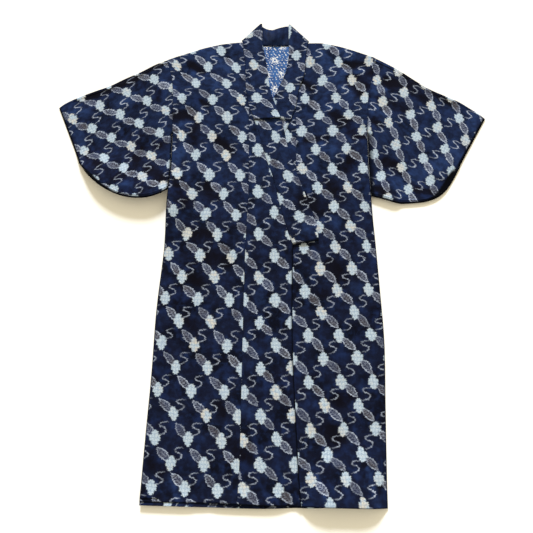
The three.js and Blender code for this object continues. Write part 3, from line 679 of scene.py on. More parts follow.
def overlap_piece(half, name, seed, material):
    """Overlap panel: seam on one side, collar seam and free edge on the other."""
    hem = np.full(len(HEM_STEPS), HEM_RAIL_Y)
    rail_y = np.concatenate([np.linspace(KENSAKI_Y, LAST_ROW_Y, OVERLAP_ROWS), hem])[:, None]
    share = spread(OVERLAP_COLUMNS, OVERLAP_WIDTH)
    seam = half["overlap_seam"](rail_y)
    edge = np.where(rail_y >= COLLAR_END_Y, half["collar_seam"](rail_y), half["overlap_edge"](rail_y))
    x = lerp(seam, edge, share)
    y = np.repeat(rail_y, len(share), 1)
    for k, step in enumerate(HEM_STEPS):
        y[-1 - k] = FRONT_HEM(x[-1]) + step
    above_hem = y - FRONT_HEM(x)
    beside = np.abs(x - edge)
    is_free = y < COLLAR_END_Y
    low = front_z(half, x, y) - OVERLAP_DROP
    z = front_z(half, x, y) + relief(x, y, seed)
    if half is RIGHT:
        z = np.maximum(np.where(is_free, roll_edge(z, low, beside, OVERLAP_ROLL), z), low)
    z = z + seam_dip(np.abs(x - seam))
    z = np.minimum(z, roll_edge(z, low, above_hem, HEM_ROLL))
    # Painted shade along the free edge and the hem
    edge_light = np.where(is_free, edge_shade_ramp(beside - OVERLAP_DARK_FROM, OVERLAP_DARK), 1)
    edge_light = edge_light * edge_shade_ramp(above_hem, HEM_DARK)
    middle = np.stack([x, y, z], -1)
    return cloth_piece(name, middle, straight(middle), lattice(name, x, y), seed, material, edge_light=edge_light)


# Sleeve: stations close to the wrist, shares close to the top and the bottom, and its usual depth
WRIST_STATIONS = (8.72, 8.82, 8.9, 8.96, 9.0)
LAST_EVEN_STATION = 8.6
TOP_SHARES = (0, 0.004, 0.011, 0.02)
BOTTOM_SHARES = (0.98, 0.989, 0.996, 1)
SLEEVE_DEPTH = 430
SLEEVE_SEWN_GAP = 0.2
SLEEVE_ROLL = 12

# How far above the lower layer the upper one comes down: at the cuff, at top and bottom, and at the least
CUFF_RISE = 1.5
FOLD_RISE = 1.9
LEAST_RISE = 1.4

# Middle and spread of the wider painted shade at the lower corner, in stations
CORNER_STATION = 5.8
CORNER_SPREAD = 1.2


def sleeve_grid(half):
    """Place of every point of a sleeve's layer, its stations, and its shares from top to bottom."""
    table = half["sleeve"]
    columns = [Rail(list(enumerate(row[k] for row in table))) for k in range(4)]
    top_x, top_y, bottom_x, bottom_y = table[0]
    s = np.concatenate([np.linspace(0, LAST_EVEN_STATION, SLEEVE_STATIONS), WRIST_STATIONS])[:, None]
    t = np.concatenate([TOP_SHARES, np.linspace(0, 1, SLEEVE_COLUMNS)[1:-1], BOTTOM_SHARES])
    levels = lerp(top_y - FOLD_INSET, bottom_y + SLEEVE_BOTTOM_INSET, t)
    gap = np.where(levels < SLEEVE_SEWN_TO_Y, SLEEVE_FREE_GAP, SLEEVE_SEWN_GAP)
    yoke = np.clip((levels - YOKE_Y) / (levels[0] - YOKE_Y), 0, 1)
    above = lerp(half["side"](YOKE_Y), top_x, yoke)
    arm_x = np.where(levels > YOKE_Y, above, half["side"](levels)) + half["out"] * gap
    tx, ty, bx, by = (column(s) for column in columns)
    x = lerp(tx, bx, t) + (arm_x - lerp(top_x, bottom_x, t)) * np.clip(1 - s, 0, 1)
    y = lerp(ty - FOLD_INSET, by + SLEEVE_BOTTOM_INSET, t)
    return x, y, s, t, levels


def sleeve_front(half, grid, low, seed):
    """Heights of a sleeve's upper layer above the lower one, and its painted shade at the cuff, the bottom,
    the lower corner and the open armhole.
    """
    x, y, s, t, levels = grid
    cuff = distance_from(x, y, x[-1], y[-1])
    below = distance_from(x, y, x[:, -1], y[:, -1])
    beside = np.hypot(x - x[:1], y - y[:1])
    z = FRONT_MID + lift_at(x, y) + ridges_at(x, y, RIDGES) + relief(x, y, seed)
    z = roll_edge(z, low + CUFF_RISE, cuff, SLEEVE_ROLL)
    z = roll_edge(z, low + FOLD_RISE, np.minimum(t, 1 - t) * SLEEVE_DEPTH + 1, SLEEVE_ROLL)
    z = np.maximum(z, low + LEAST_RISE) + seam_dip(beside)
    # Painted shade: bands along the cuff and the bottom, wider at the lower corner, and along the open
    # armhole
    corner = half["corner_shade"] * np.exp(-((s - CORNER_STATION) / CORNER_SPREAD) ** 2)
    band = lerp(half["cuff_shade"], half["cuff_shade"] * 1.5, t)
    edge_light = edge_shade_ramp(cuff - band, HEM_DARK) * edge_shade_ramp(below - corner - 1, SIDE_DARK)
    armhole = edge_shade_ramp(beside - half["armhole_shade"], ARMHOLE_DARK)
    return z, edge_light * np.where(levels < SLEEVE_SEWN_TO_Y, armhole, 1)


def sleeve_piece(half, name, seed, material):
    """Flat tube folded along the top, sewn along the bottom and open at armhole and wrist."""
    grid = sleeve_grid(half)
    x, y = grid[:2]
    low = BACK_MID + lift_at(x, y)
    high, front_edge_light = sleeve_front(half, grid, low, seed)
    back = np.stack([x, y, low], -1)
    front = np.stack([x, y, high], -1)
    top, top_normal = (rows.transpose(1, 0, 2) for rows in turn_rows(back[:, 0], front[:, 0], 1))
    bottom, bottom_normal = (rows.transpose(1, 0, 2)[:, ::-1]
                             for rows in turn_rows(back[:, -1], front[:, -1], -1))
    ring = np.concatenate([back[:, ::-1], top, front, bottom], 1)
    normal = np.concatenate([straight(back, -1), top_normal, straight(front), bottom_normal], 1)
    behind = np.arange(ring.shape[1]) < back.shape[1]
    place = lattice(name, ring[..., 0], unroll(ring[..., 1], front[:, :1, 1], behind))
    # Painted shade on the front's edges, and the whole bottom fold painted black as shade
    edge_light = np.ones(ring.shape[:2])
    start = back.shape[1] + len(FOLD_ANGLES)
    edge_light[:, start:start + front.shape[1]] = front_edge_light
    edge_light[:, start + front.shape[1]:] = 0
    return cloth_piece(name, ring, normal, place, seed, material, around=True, edge_light=edge_light)


# Collar: half a seam's gap, how far the neck corner stands above the shoulder, spacing and number of lines
SEAM_HALF_GAP = 0.15
CORNER_RISE = 1.4
LINE_STEP = 8
BACK_LINES = 18
CORNER_SHARES = (0.2, 0.4, 0.6, 0.8)
ACROSS = np.linspace(0, 1, 15)
LIP_LENGTH = 22
EDGE_ANGLES = (60, 30, 0, -30, -60)

# Share of the small waves that a strip shows, and how far painted shade hides the pattern behind the neck
STRIP_RUMPLE = 0.35
LINING_RUMPLE = 0.25
PATTERN_SHADED_AT_BACK = 0.985


def front_lines(half, from_y):
    """Lines across the front part of the collar, lowest first: seam, free edge, facing, rise."""
    top_y = float(SHOULDER(half["collar"][-1][1])) - FOLD_INSET
    count = max(4, int((top_y - from_y) / LINE_STEP * FINE))
    columns = [Rail(half["collar"], k) for k in range(1, 6)]
    lines = []
    for y in np.linspace(from_y, top_y, count):
        x, fx, fy, z, fz = (float(column(y)) for column in columns)
        lines.append(((x - half["out"] * SEAM_HALF_GAP, y, z), (fx, fy, fz), (0, 0, 1), 0))
    return lines


def corner_lines(half):
    """Lines round the folded neck corner, from the front to the back of the neck."""
    out = half["out"]
    seam_x, free_x, free_y = half["collar"][-1][1:4]
    pivot = (seam_x - out * SEAM_HALF_GAP, float(SHOULDER(seam_x)) + CORNER_RISE)
    far_x = pivot[0] - out * COLLAR_WIDTH_AT_NECK
    peak = (far_x, pivot[1] + COLLAR_WIDTH_AT_NECK)
    lines = []
    for share in CORNER_SHARES:
        free = (lerp(free_x, far_x, share), lerp(free_y, peak[1], share), NECK_FRONT_MID)
        lines.append(((*pivot, NECK_FRONT_MID), free, (0, 0, 1), 0))
    radius = (NECK_FRONT_MID - NECK_BACK_MID) / 2
    level = (NECK_FRONT_MID + NECK_BACK_MID) / 2
    away = (out * math.sqrt(0.5), math.sqrt(0.5))
    for angle in np.linspace(0, math.pi, 9):
        reach = radius * math.sin(angle)
        z = level + radius * math.cos(angle)
        seam = (pivot[0] + away[0] * reach, pivot[1] + away[1] * reach, z)
        free = (peak[0] + away[0] * reach, peak[1] + away[1] * reach, z)
        face = (away[0] * math.sin(angle), away[1] * math.sin(angle), math.cos(angle))
        lines.append((seam, free, face, 0))
    for share in CORNER_SHARES:
        down = float(smooth(share * 1.3))
        seam = (lerp(pivot[0], far_x, share), lerp(pivot[1], NECKLINE_Y + 1, down), NECK_BACK_MID)
        free = (lerp(peak[0], far_x - out, share), lerp(peak[1], COLLAR_BACK[0][1], share), NECK_BACK_MID)
        lines.append((seam, free, (0, 0, -1), 0))
    return lines


def back_lines():
    """Lines across the back of the collar, from the right corner to the left one."""
    columns = [Rail(COLLAR_BACK, k) for k in (1, 2, 3)]
    lines = []
    for x in np.linspace(COLLAR_BACK[0][0], COLLAR_BACK[-1][0], BACK_LINES):
        fy, fz, rise = (float(column(x)) for column in columns)
        lines.append(((x, NECKLINE_Y + 0.5, NECK_BACK_MID), (x, fy, fz), (0, 0, -1), rise))
    return lines


def collar_lines(from_y):
    right = front_lines(RIGHT, from_y) + corner_lines(RIGHT)
    left = front_lines(LEFT, from_y) + corner_lines(LEFT)
    return right + back_lines() + left[::-1]


def size_of(vectors):
    return np.linalg.norm(vectors, axis=-1, keepdims=True)


def strip_frames(lines):
    """Middle points, facings, directions to the free edge and lengths along, on every line of the collar."""
    seam, free, face, rise = (np.array(column, float) for column in zip(*lines))
    face = face[:, None, :]
    middle = seam[:, None, :] + (free - seam)[:, None, :] * ACROSS[:, None]
    middle[..., 2] += rise[:, None] * np.sin(math.pi * ACROSS)
    wide = np.gradient(middle, axis=1)
    ahead = np.gradient(middle, axis=0)
    normal = np.cross(wide, ahead)
    weak = (size_of(ahead) < 0.4) | (size_of(normal) < 0.2 * size_of(wide) * size_of(ahead))
    normal = np.where(weak, face, normal)
    normal /= size_of(normal)
    normal = np.where((normal * face).sum(-1, keepdims=True) < 0, -normal, normal)
    wide /= size_of(wide)
    steps = np.linalg.norm(np.diff(middle[:, len(ACROSS) // 2], axis=0), axis=-1)
    return middle, normal, wide, np.concatenate([[0], np.cumsum(steps)])


def folded_strip(name, lines, near, far, cloth_of, seed, material, lip):
    """Strip folded round its free edge: outer face, fold, inner face."""
    middle, normal, wide, along = strip_frames(lines)
    half_mid = (near + far) / 2
    across = np.linalg.norm(middle - middle[:, :1], axis=-1)
    bumps = rumple_at(middle[..., 0] * 1.3, middle[..., 1], seed)[..., None] * STRIP_RUMPLE
    raised = np.where(normal[..., 2:] > 0.5, bumps, 0)
    end = np.maximum(1 - along / LIP_LENGTH, 0) ** 2
    middle[..., 2] += lip * end[:, None] * smooth(ACROSS * 1.6)
    top = middle + normal * (half_mid + raised)
    bottom = middle - normal * half_mid
    angle = np.radians(EDGE_ANGLES)
    turn = wide[:, -1:] * np.cos(angle)[:, None] + normal[:, -1:] * np.sin(angle)[:, None]
    fold = middle[:, -1:] + turn * half_mid
    grid = np.concatenate([top, fold, bottom[:, ::-1]], 1)
    facing = np.concatenate([normal, turn, -normal[:, ::-1]], 1)
    edge = across[:, -1:]
    u = np.concatenate([across, edge + half_mid * (math.pi / 2 - angle), 2 * edge - across[:, ::-1] + 3], 1)
    at_back = np.array([line[2][2] < -0.5 for line in lines], float)[:, None]
    place = cloth_of(u, np.repeat(along[:, None], u.shape[1], 1), np.cumsum(at_back)[:, None] / at_back.sum())
    # Painted shade at the strip's starting end, and painted shade over the pattern behind the neck
    return cloth_piece(name, grid, facing, place, seed, material, thickness=far - near,
                       edge_light=edge_shade_ramp(along[:, None], HEM_DARK), pattern_shaded_out=at_back * PATTERN_SHADED_AT_BACK)


# Lining: y, right edge x, left edge x
LINING = [(656.5, -78, 100), (600, -66, 92), (540, -52, 76), (480, -36, 50), (425, -18, 26)]


def lining_piece(name, material):
    """Blue print inside the back of the neck."""
    y = np.linspace(LINING[-1][0], LINING[0][0], LINING_ROWS)[:, None]
    x = lerp(Rail(LINING, 1)(y), Rail(LINING, 2)(y), np.linspace(0, 1, LINING_COLUMNS))
    y = np.repeat(y, LINING_COLUMNS, 1)
    middle = np.stack([x, y, LINING_MID + rumple_at(x, y, 7.5) * LINING_RUMPLE], -1)
    return cloth_piece(name, middle, straight(middle), (x, y), 9, material, thickness=LINING_CLOTH)


class Value:
    """Output of a shader node; arithmetic with it wires math nodes."""

    def __init__(self, nodes, socket):
        self.nodes = nodes
        self.socket = socket

    def __add__(self, other):
        return self.nodes.math("ADD", self, other)

    def __sub__(self, other):
        return self.nodes.math("SUBTRACT", self, other)

    def __rsub__(self, other):
        return self.nodes.math("SUBTRACT", other, self)

    def __mul__(self, other):
        return self.nodes.math("MULTIPLY", self, other)

    def __truediv__(self, other):
        return self.nodes.math("DIVIDE", self, other)

    def __abs__(self):
        return self.nodes.math("ABSOLUTE", self)

    def about(self, reach):
        """Noise as a shift to either side."""
        return (self - 0.5) * reach

    def step(self, start, end):
        """0 before start, 1 after end, straight between."""
        node = self.nodes.add("ShaderNodeMapRange")
        self.nodes.plug(node.inputs["Value"], self)
        node.inputs["From Min"].default_value = start
        node.inputs["From Max"].default_value = end
        return Value(self.nodes, node.outputs[0])


class Nodes:
    """A new material and the nodes that make it."""

    def __init__(self, name):
        self.material = bpy.data.materials.new(name)
        self.material.use_nodes = True
        self.tree = self.material.node_tree
        self.tree.nodes.clear()

    def add(self, kind, *values, **settings):
        """New node, with values or other nodes' outputs on its first inputs."""
        node = self.tree.nodes.new(kind)
        for key, value in settings.items():
            setattr(node, key, value)
        for socket, value in zip(node.inputs, values):
            self.plug(socket, value)
        return node

    def plug(self, socket, value):
        if isinstance(value, Value):
            self.tree.links.new(value.socket, socket)
        else:
            socket.default_value = value

    def math(self, operation, *values, clamp=False):
        node = self.add("ShaderNodeMath", *values, operation=operation, use_clamp=clamp)
        return Value(self, node.outputs[0])

    def length(self, x, y):
        return self.math("SQRT", x * x + y * y)

    def combine(self, x, y, z):
        return Value(self, self.add("ShaderNodeCombineXYZ", x, y, z).outputs[0])

    def white(self, x, y, z):
        """A random number for each cell of a pattern."""
        node = self.add("ShaderNodeTexWhiteNoise", self.combine(x, y, z), noise_dimensions="3D")
        return Value(self, node.outputs["Value"])

    def mix(self, share, first, second):
        node = self.add("ShaderNodeMix", data_type="RGBA")
        for slot, value in ((0, share), (6, first), (7, second)):
            self.plug(node.inputs[slot], value)
        return Value(self, node.outputs[2])

    def split(self, name):
        """The three parts of one of the piece's attributes."""
        node = self.add("ShaderNodeAttribute", attribute_name=name)
        parts = self.add("ShaderNodeSeparateXYZ", Value(self, node.outputs["Vector"]))
        return [Value(self, socket) for socket in parts.outputs]

    def surface(self, base, values, bump=None):
        """Ends the material with a shader; values are its own settings by name."""
        shader = self.add("ShaderNodeBsdfPrincipled", base)
        for name, value in values.items():
            shader.inputs[name].default_value = value
        if bump is not None:
            self.plug(shader.inputs["Normal"], bump)
        self.add("ShaderNodeOutputMaterial", Value(self, shader.outputs[0]))
        return self.material


def colour(red, green, blue):
    """Display colour, 0 to 255, as the shader's linear colour."""
    def linear(value):
        value /= 255
        return value / 12.92 if value <= 0.04045 else ((value + 0.055) / 1.055) ** 2.4
    return (linear(red), linear(green), linear(blue), 1.0)


# Noises on the cloth: waves per millimetre across and along, detail, roughness
NOISES = {
    "weft slip": (0.03, 0.38, 4.0, 0.75),
    "weft drift": (0.012, 0.012, 1.0, 0.5),
    "warp slip": (0.33, 0.03, 2.0, 0.5),
    "warp drift": (0.010, 0.014, 1.0, 0.5),
    "smear": (0.05, 0.26, 3.0, 0.7),
    "wander": (0.16, 0.16, 2.0, 0.5),
    "yarn": (0.22, 0.9, 3.0, 0.7),
    "fleck": (0.9, 0.45, 2.0, 0.5),
    "broad": (0.010, 0.013, 3.0, 0.55),
    "patch": (0.030, 0.022, 2.0, 0.5),
    "faded": (0.05, 0.06, 2.0, 0.5),
    "glow": (0.055, 0.065, 4.0, 0.6),
    "aged": (0.06, 0.06, 1.0, 0.5),
    "gaps": (0.13, 0.2, 3.0, 0.65),
    "print slip": (0.11, 0.11, 1.0, 0.5),
    "print fade": (0.05, 0.05, 3.0, 0.5),
}

# How far the yarns slip, in millimetres
WEFT_SLIP = 16
WEFT_DRIFT = 16
WARP_SLIP = 9
WARP_DRIFT = 12
SMEAR = 13
GRID_WANDER = 9
FLOWER_SKEW = 6
PRINT_SLIP = 22


def noises_on(n, x, y, seed):
    """Gives each of the noises by name, on the cloth of one piece."""
    def grain(name):
        across, along, detail, rough = NOISES[name]
        node = n.add("ShaderNodeTexNoise")
        n.plug(node.inputs["Vector"], n.combine(x * across, y * along, seed))
        for key, value in (("Scale", 1.0), ("Detail", detail), ("Roughness", rough)):
            node.inputs[key].default_value = value
        return Value(n, node.outputs["Fac"])
    return grain


# Flower: half width and half height of each stepped block, in millimetres
FLOWER_BLOCKS = [(14, 8), (8.5, 16.5), (4.5, 20)]
FLOWER_GRID = 8.5

# Leaf: turn, half length, half width, outline
LEAF_TURN = -47
LEAF_LENGTH = 27
LEAF_WIDTH = 11.5
LEAF_LINE = 2.5

# Curl below the left of each flower: its middle, points around that, and where it fades away
CURL_CENTRE = (-20, -34)
CURL_POINTS = [(15, 17), (2, 16.5), (-7.5, 14), (-11, 9), (-7, 4.5), (3, 1.5), (9, -3.5), (8, -9),
               (2, -14), (-12, -17)]
CURL_LINE = 1.2
CURL_FADE = (23, 11)


def wrap(n, x, y, centre_x, centre_y):
    """Place inside the diamond cell around the nearest copy of a centre, and the cell's numbers."""
    wide = REPEAT_ACROSS / 2
    high = REPEAT_ALONG / 2
    px = (x - centre_x) / wide
    py = (y - centre_y) / high
    s = (px + py) * 0.5
    t = (px - py) * 0.5
    s_cell = n.math("ROUND", s)
    t_cell = n.math("ROUND", t)
    s = s - s_cell
    t = t - t_cell
    return (s + t) * wide, (s - t) * high, s_cell, t_cell


def flower_mask(n, x, y):
    """Stepped blocks, soft across the weft."""
    total = 0.0
    for half_wide, half_high in FLOWER_BLOCKS:
        across = abs(x).step(half_wide + 1.3, half_wide - 1.3)
        along = abs(y).step(half_high + 0.7, half_high - 0.7)
        total = n.math("MAXIMUM", total, across * along)
    return total


def flower_grid(n, x, y):
    """Thin blue lines across a flower, where the ties crossed it."""
    lines = []
    for share in (x / FLOWER_GRID, y / (FLOWER_GRID * 1.25)):
        lines.append(abs(share - n.math("ROUND", share)).step(0.17, 0.06))
    return n.math("MAXIMUM", *lines)


def leaf_masks(n, x, y):
    """Outline, hatching and inside of the leaf."""
    cosine = math.cos(math.radians(LEAF_TURN))
    sine = math.sin(math.radians(LEAF_TURN))
    u = x * cosine + y * sine
    side = abs(y * cosine - x * sine)
    depth = (1.0 - u * u / LEAF_LENGTH ** 2) * LEAF_WIDTH - side
    inside = depth.step(-0.4, 0.8)
    heart = depth.step(LEAF_LINE - 0.3, LEAF_LINE + 1.2)
    barb = n.math("SINE", u * 0.8 + side * 0.7)
    hatch = n.math("MAXIMUM", side.step(1.5, 0.5), barb.step(0.0, 0.8))
    return inside - heart, heart * hatch, heart


def curl_mask(n, x, y):
    """Nearness to the run of short straight pieces that makes the curl, fainter at both ends."""
    nearest = CURL_FADE[0]
    for (ax, ay), (bx, by) in zip(CURL_POINTS, CURL_POINTS[1:]):
        dx = bx - ax
        dy = by - ay
        size = dx * dx + dy * dy
        px = x - ax
        py = y - ay
        along = n.math("ADD", px * (dx / size), py * (dy / size), clamp=True)
        nearest = n.math("MINIMUM", nearest, n.length(px - along * dx, py - along * dy))
    far = x * x + y * y
    return nearest.step(CURL_LINE + 1.1, CURL_LINE - 0.7) * far.step(CURL_FADE[0] ** 2, CURL_FADE[1] ** 2)


INDIGO = colour(17, 22, 43)
INDIGO_DEEP = colour(8, 10, 22)
INDIGO_BRIGHT = colour(24, 37, 74)
# Painted light on fold ridges
INDIGO_PAINTED_LIT = colour(36, 55, 99)
# Painted shade in fold troughs
INDIGO_PAINTED_SHADE = colour(10, 8, 14)
# Painted shade: the black of edges that roll away beneath
EDGE_SHADE_BLACK = colour(3, 4, 10)
PALE = colour(196, 210, 219)
PALE_BLUE = colour(138, 162, 193)
TIE_BLUE = colour(100, 124, 160)
# Aged cotton, and also painted shade on flowers in fold troughs
CREAM_AGED_AND_SHADED = colour(197, 192, 183)
GREY = colour(166, 178, 202)
MAUVE = colour(62, 68, 96)
BROWN = colour(78, 72, 78)
KASURI_SURFACE = {
    "Roughness": 0.9,
    "Specular IOR Level": 0.04,
    "Sheen Weight": 0.02,
    "Sheen Roughness": 0.4,
    "Sheen Tint": colour(120, 150, 215),
}
YARN_PITCH = 0.9


def weave_bump(n, x, y, slub):
    """Plain weave of warp and weft, with uneven yarns."""
    warp = n.math("SINE", x * (2 * math.pi / YARN_PITCH))
    weft = n.math("SINE", y * (2 * math.pi / YARN_PITCH))
    bump = n.add("ShaderNodeBump")
    bump.inputs["Strength"].default_value = 0.35
    bump.inputs["Distance"].default_value = 0.0004
    n.plug(bump.inputs["Height"], warp * weft * 0.5 + slub * 1.4)
    return Value(n, bump.outputs[0])


def flowers(n, x, y, seed, grain):
    """Flowers, the tie lines across them, and each one's random number."""
    fx, fy, s_cell, t_cell = wrap(n, x, y, 0.0, 0.0)
    own = n.white(s_cell, t_cell, seed)
    fx = fx + fy.step(-14.0, 14.0) * (own - 0.3) * FLOWER_SKEW
    wander = grain("wander").about(GRID_WANDER)
    return flower_mask(n, fx, fy), flower_grid(n, fx + wander, fy - wander), own


def leaves_and_curls(n, x, y, seed, grain):
    """Outline, hatching and inside of the leaves, each leaf's random number, and the curls."""
    leaf_x, leaf_y, slip = n.split("motif")
    x = x + grain("smear").about(SMEAR)
    lx, ly, s_cell, t_cell = wrap(n, x, y, leaf_x, leaf_y)
    own = n.white(s_cell, t_cell, seed + 0.5)
    cx, cy, _, _ = wrap(n, x, y, CURL_CENTRE[0] - slip, CURL_CENTRE[1] - slip)
    return (*leaf_masks(n, lx, ly), own, curl_mask(n, cx, cy))


def dye_and_painted_light(n, folded, broad, faded, grain):
    """Uneven indigo dye, with painted light on ridges and towards the shoulders and painted shade in troughs,
    and how much painted light and painted shade there is.
    """
    ground = n.mix(broad.step(0.46, 0.62), INDIGO, INDIGO_DEEP)
    ground = n.mix(grain("patch").step(0.50, 0.70) * 0.8, ground, INDIGO_BRIGHT)
    ground = n.mix(grain("fleck").step(0.5, 0.8) * 0.45, ground, INDIGO_BRIGHT)
    # Painted light and painted shade, broken up by noise
    glow = folded + grain("glow").about(1.9)
    painted_lit = n.math("MULTIPLY", glow, faded.step(0.36, 0.62) * 0.6 + 0.4, clamp=True)
    painted_dark = glow.step(0.0, -0.75)
    ground = n.mix(painted_lit * 0.85, ground, INDIGO_PAINTED_LIT)
    return n.mix(painted_dark * 0.75, ground, INDIGO_PAINTED_SHADE), painted_lit, painted_dark


def pale_cotton(n, yarn, own, painted_dark, lines, grain):
    """Undyed cotton of the flowers, blue here and cream there where it has aged, cream also as painted shade
    in the fold troughs, with the tie lines.
    """
    pale = n.mix(yarn.step(0.34, 0.64), PALE_BLUE, PALE)
    aged = own.step(0.7, 0.9) * grain("aged").step(0.42, 0.6)
    # Cream where the cotton aged, and as painted shade in the fold troughs
    pale = n.mix(n.math("MAXIMUM", aged, painted_dark * 0.8) * 0.8, pale, CREAM_AGED_AND_SHADED)
    return n.mix(lines * 0.5, pale, TIE_BLUE)


def kasuri_material():
    """Indigo cotton with pale ikat flowers, leaves and curls, and painted light and shade."""
    n = Nodes("indigo_kasuri")
    x, y, seed = n.split("cloth")
    # Painted shade of rolled edges, painted light and shade of folds and shoulders, and painted shade over
    # the pattern
    edge_light, folded, pattern_shaded_out = n.split("shade")
    grain = noises_on(n, x, y, seed)
    slipped_x = x + grain("weft slip").about(WEFT_SLIP) + grain("weft drift").about(WEFT_DRIFT)
    slipped_y = y + grain("warp slip").about(WARP_SLIP) + grain("warp drift").about(WARP_DRIFT)
    flower, lines, own = flowers(n, slipped_x, slipped_y, seed, grain)
    outline, hatch, heart, leaf_own, curl = leaves_and_curls(n, slipped_x, slipped_y, seed, grain)
    yarn = grain("yarn")
    broad = grain("broad")
    faded = grain("faded")
    ground, painted_lit, painted_dark = dye_and_painted_light(n, folded, broad, faded, grain)

    shown = 1.0 - pattern_shaded_out
    broken = yarn.step(0.28, 0.52)
    gaps = grain("gaps").step(0.36, 0.58)
    # The pattern also shows brighter where light is painted
    strength = (gaps * 0.6 + 0.3) * faded.step(0.2, 0.5) * shown * (broken * 0.4 + 0.55) * (painted_lit * 1.2 + 1.0)
    leaf_strength = strength * (leaf_own * 0.6 + 0.65)

    inner = n.mix(broad.step(0.44, 0.6), MAUVE, BROWN)
    result = n.mix(heart * shown * (gaps * 0.3 + 0.2), ground, inner)
    result = n.mix(hatch * leaf_strength * 0.42, result, GREY)
    result = n.mix(outline * leaf_strength * 1.15, result, GREY)
    result = n.mix(curl * strength, result, GREY)
    pale = pale_cotton(n, yarn, own, painted_dark, lines, grain)
    result = n.mix(flower * shown * (broken * 0.12 + 0.86), result, pale)
    # Painted shade: rolled edges go to black
    result = n.mix(edge_light, EDGE_SHADE_BLACK, result)
    return n.surface(result, KASURI_SURFACE, weave_bump(n, x, y, yarn))


LINING_BASE = colour(56, 96, 158)
LINING_DEEP = colour(36, 66, 122)
LINING_WHITE = colour(228, 232, 238)
LINING_SURFACE = {"Roughness": 0.9, "Specular IOR Level": 0.2, "Sheen Weight": 0.05}
DOT_ACROSS = 11
DOT_ALONG = 9.5

# Sprays of dashes: spacing, place of the first one
SPRAY_CELL = 50
SPRAY_X = 10.0
SPRAY_Y = 8.0


def repeat(n, value, size):
    """Offset from the nearest repeat of a pattern, and that repeat's number."""
    cell = n.math("ROUND", value / size)
    return value - cell * size, cell


def staggered(n, x, y, wide, high):
    """Offsets from the nearest place of a pattern whose every other row is moved by half."""
    dy, row = repeat(n, y, high)
    dx, _ = repeat(n, x + n.math("MODULO", abs(row), 2.0) * (wide / 2), wide)
    return dx, dy


def lining_material():
    """Blue print with small white dots and sprays of short white dashes."""
    n = Nodes("blue_lining")
    x, y, seed = n.split("cloth")
    grain = noises_on(n, x, y, seed)
    wander = grain("print slip")
    shift = wander.about(PRINT_SLIP)
    dots = n.length(*staggered(n, x + shift, y - shift, DOT_ACROSS, DOT_ALONG)).step(2.3, 1.3)

    sx, sy = staggered(n, x - SPRAY_X, y - SPRAY_Y, SPRAY_CELL, SPRAY_CELL)
    far = n.length(sx, sy)
    angle = n.math("ARCTAN2", sy, sx) + wander * 3.0
    rays = abs(n.math("SINE", angle * 4.0))
    dash = (rays * far).step(6.4, 4.2) * far.step(3.0, 4.0) * far.step(17.0, 15.0)
    white = n.math("MAXIMUM", dash, dots * (1.0 - far.step(18.0, 16.0)))

    fade = grain("print fade")
    base = n.mix(fade.step(0.4, 0.7), LINING_BASE, LINING_DEEP)
    return n.surface(n.mix(white * 0.9, base, LINING_WHITE), LINING_SURFACE, weave_bump(n, x, y, fade))


def add_camera():
    data = bpy.data.cameras.new("camera")
    data.sensor_fit = "HORIZONTAL"
    data.angle = math.radians(CAMERA_ANGLE)
    data.clip_start = 0.05
    camera = add_object("camera", data)
    camera.location = [v * MM for v in CAMERA_PLACE]
    camera.rotation_euler = (math.radians(CAMERA_TILT), 0, 0)
    bpy.context.scene.camera = camera


FLOOR_REACH = 6.0
FLOOR_Z = -0.0004
FLOOR_COLOUR = (0.93, 0.93, 0.93, 1)


def add_floor():
    far = FLOOR_REACH
    mesh = bpy.data.meshes.new("floor")
    mesh.from_pydata([(-far, -far, 0), (far, -far, 0), (far, far, 0), (-far, far, 0)], [], [(0, 1, 2, 3)])
    floor = add_object("floor", mesh)
    floor.location.z = FLOOR_Z
    mesh.materials.append(Nodes("floor").surface(FLOOR_COLOUR, {"Roughness": 0.9, "Specular IOR Level": 0.1}))


SUN_ELEVATION = 31
SUN_TURN = 4
SUN_COLOUR = (0.93, 0.96, 1.0)
SUN_STRENGTH = 3.9
SUN_SPREAD = 12
SKY_COLOUR = (1.0, 0.885, 0.63)
SKY_STRENGTH = 0.84


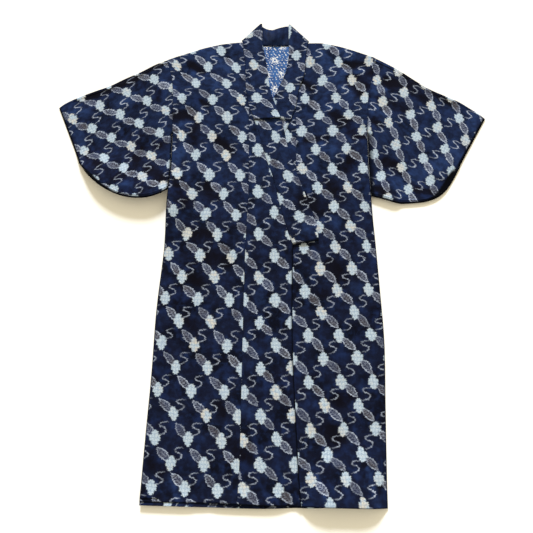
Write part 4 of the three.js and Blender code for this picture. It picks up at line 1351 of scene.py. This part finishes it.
def add_light():
    """Cool key light from beyond the shoulders, warm light from all round."""
    data = bpy.data.lights.new("key", "SUN")
    data.energy = SUN_STRENGTH
    data.angle = math.radians(SUN_SPREAD)
    data.color = SUN_COLOUR
    key = add_object("key", data)
    key.rotation_euler = (-math.radians(90 - SUN_ELEVATION), 0, math.radians(SUN_TURN))
    world = bpy.data.worlds.new("studio")
    bpy.context.scene.world = world
    world.use_nodes = True
    background = world.node_tree.nodes["Background"]
    background.inputs["Color"].default_value = (*SKY_COLOUR, 1)
    background.inputs["Strength"].default_value = SKY_STRENGTH


def collar_cloth(offset, start, stretch=1.0, slip=0.0):
    """Place of the collar's pattern: distance of a flower column from the seam, first flower, stretch.

    slip is how far the pattern on the left side lags behind, lost in the pleats at the back."""
    def place(u, v, passed):
        return u - offset, (v - start - slip * passed) / stretch
    return place


def declare(piece, node):
    """Hands a piece over as the drawn form of its CAD node."""
    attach(piece, "root")
    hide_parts(node)


add_camera()
add_floor()
add_light()
bpy.context.scene.view_settings.view_transform = "Standard"

kasuri = kasuri_material()
blue = lining_material()
body_right = body_piece(RIGHT, "body_right", "front_right", 1, kasuri)
body_left = body_piece(LEFT, "body_left", "front_left", 2, kasuri)
overlap_right = overlap_piece(RIGHT, "overlap_right", 3, kasuri)
overlap_left = overlap_piece(LEFT, "overlap_left", 4, kasuri)
sleeve_right = sleeve_piece(RIGHT, "sleeve_right", 5, kasuri)
sleeve_left = sleeve_piece(LEFT, "sleeve_left", 6, kasuri)
collar = folded_strip("collar", collar_lines(COLLAR_END_Y), COLLAR_INNER, COLLAR_HALF,
                      collar_cloth(46, 82), 7, kasuri, lip=3.0)
cover = folded_strip("collar_cover", collar_lines(COVER_END_Y), COVER_NEAR, COVER_FAR,
                     collar_cloth(29, 74, 0.87, 14.5), 8, kasuri, lip=4.0)
lining = lining_piece("lining_back", blue)

declare(body_right, "body_right")
declare(body_left, "body_left")
declare(sleeve_right, "sleeve_right")
declare(sleeve_left, "sleeve_left")
declare(overlap_right, "overlap_right")
declare(overlap_left, "overlap_left")
declare(collar, "collar")
declare(cover, "collar_cover")
declare(lining, "lining_back")
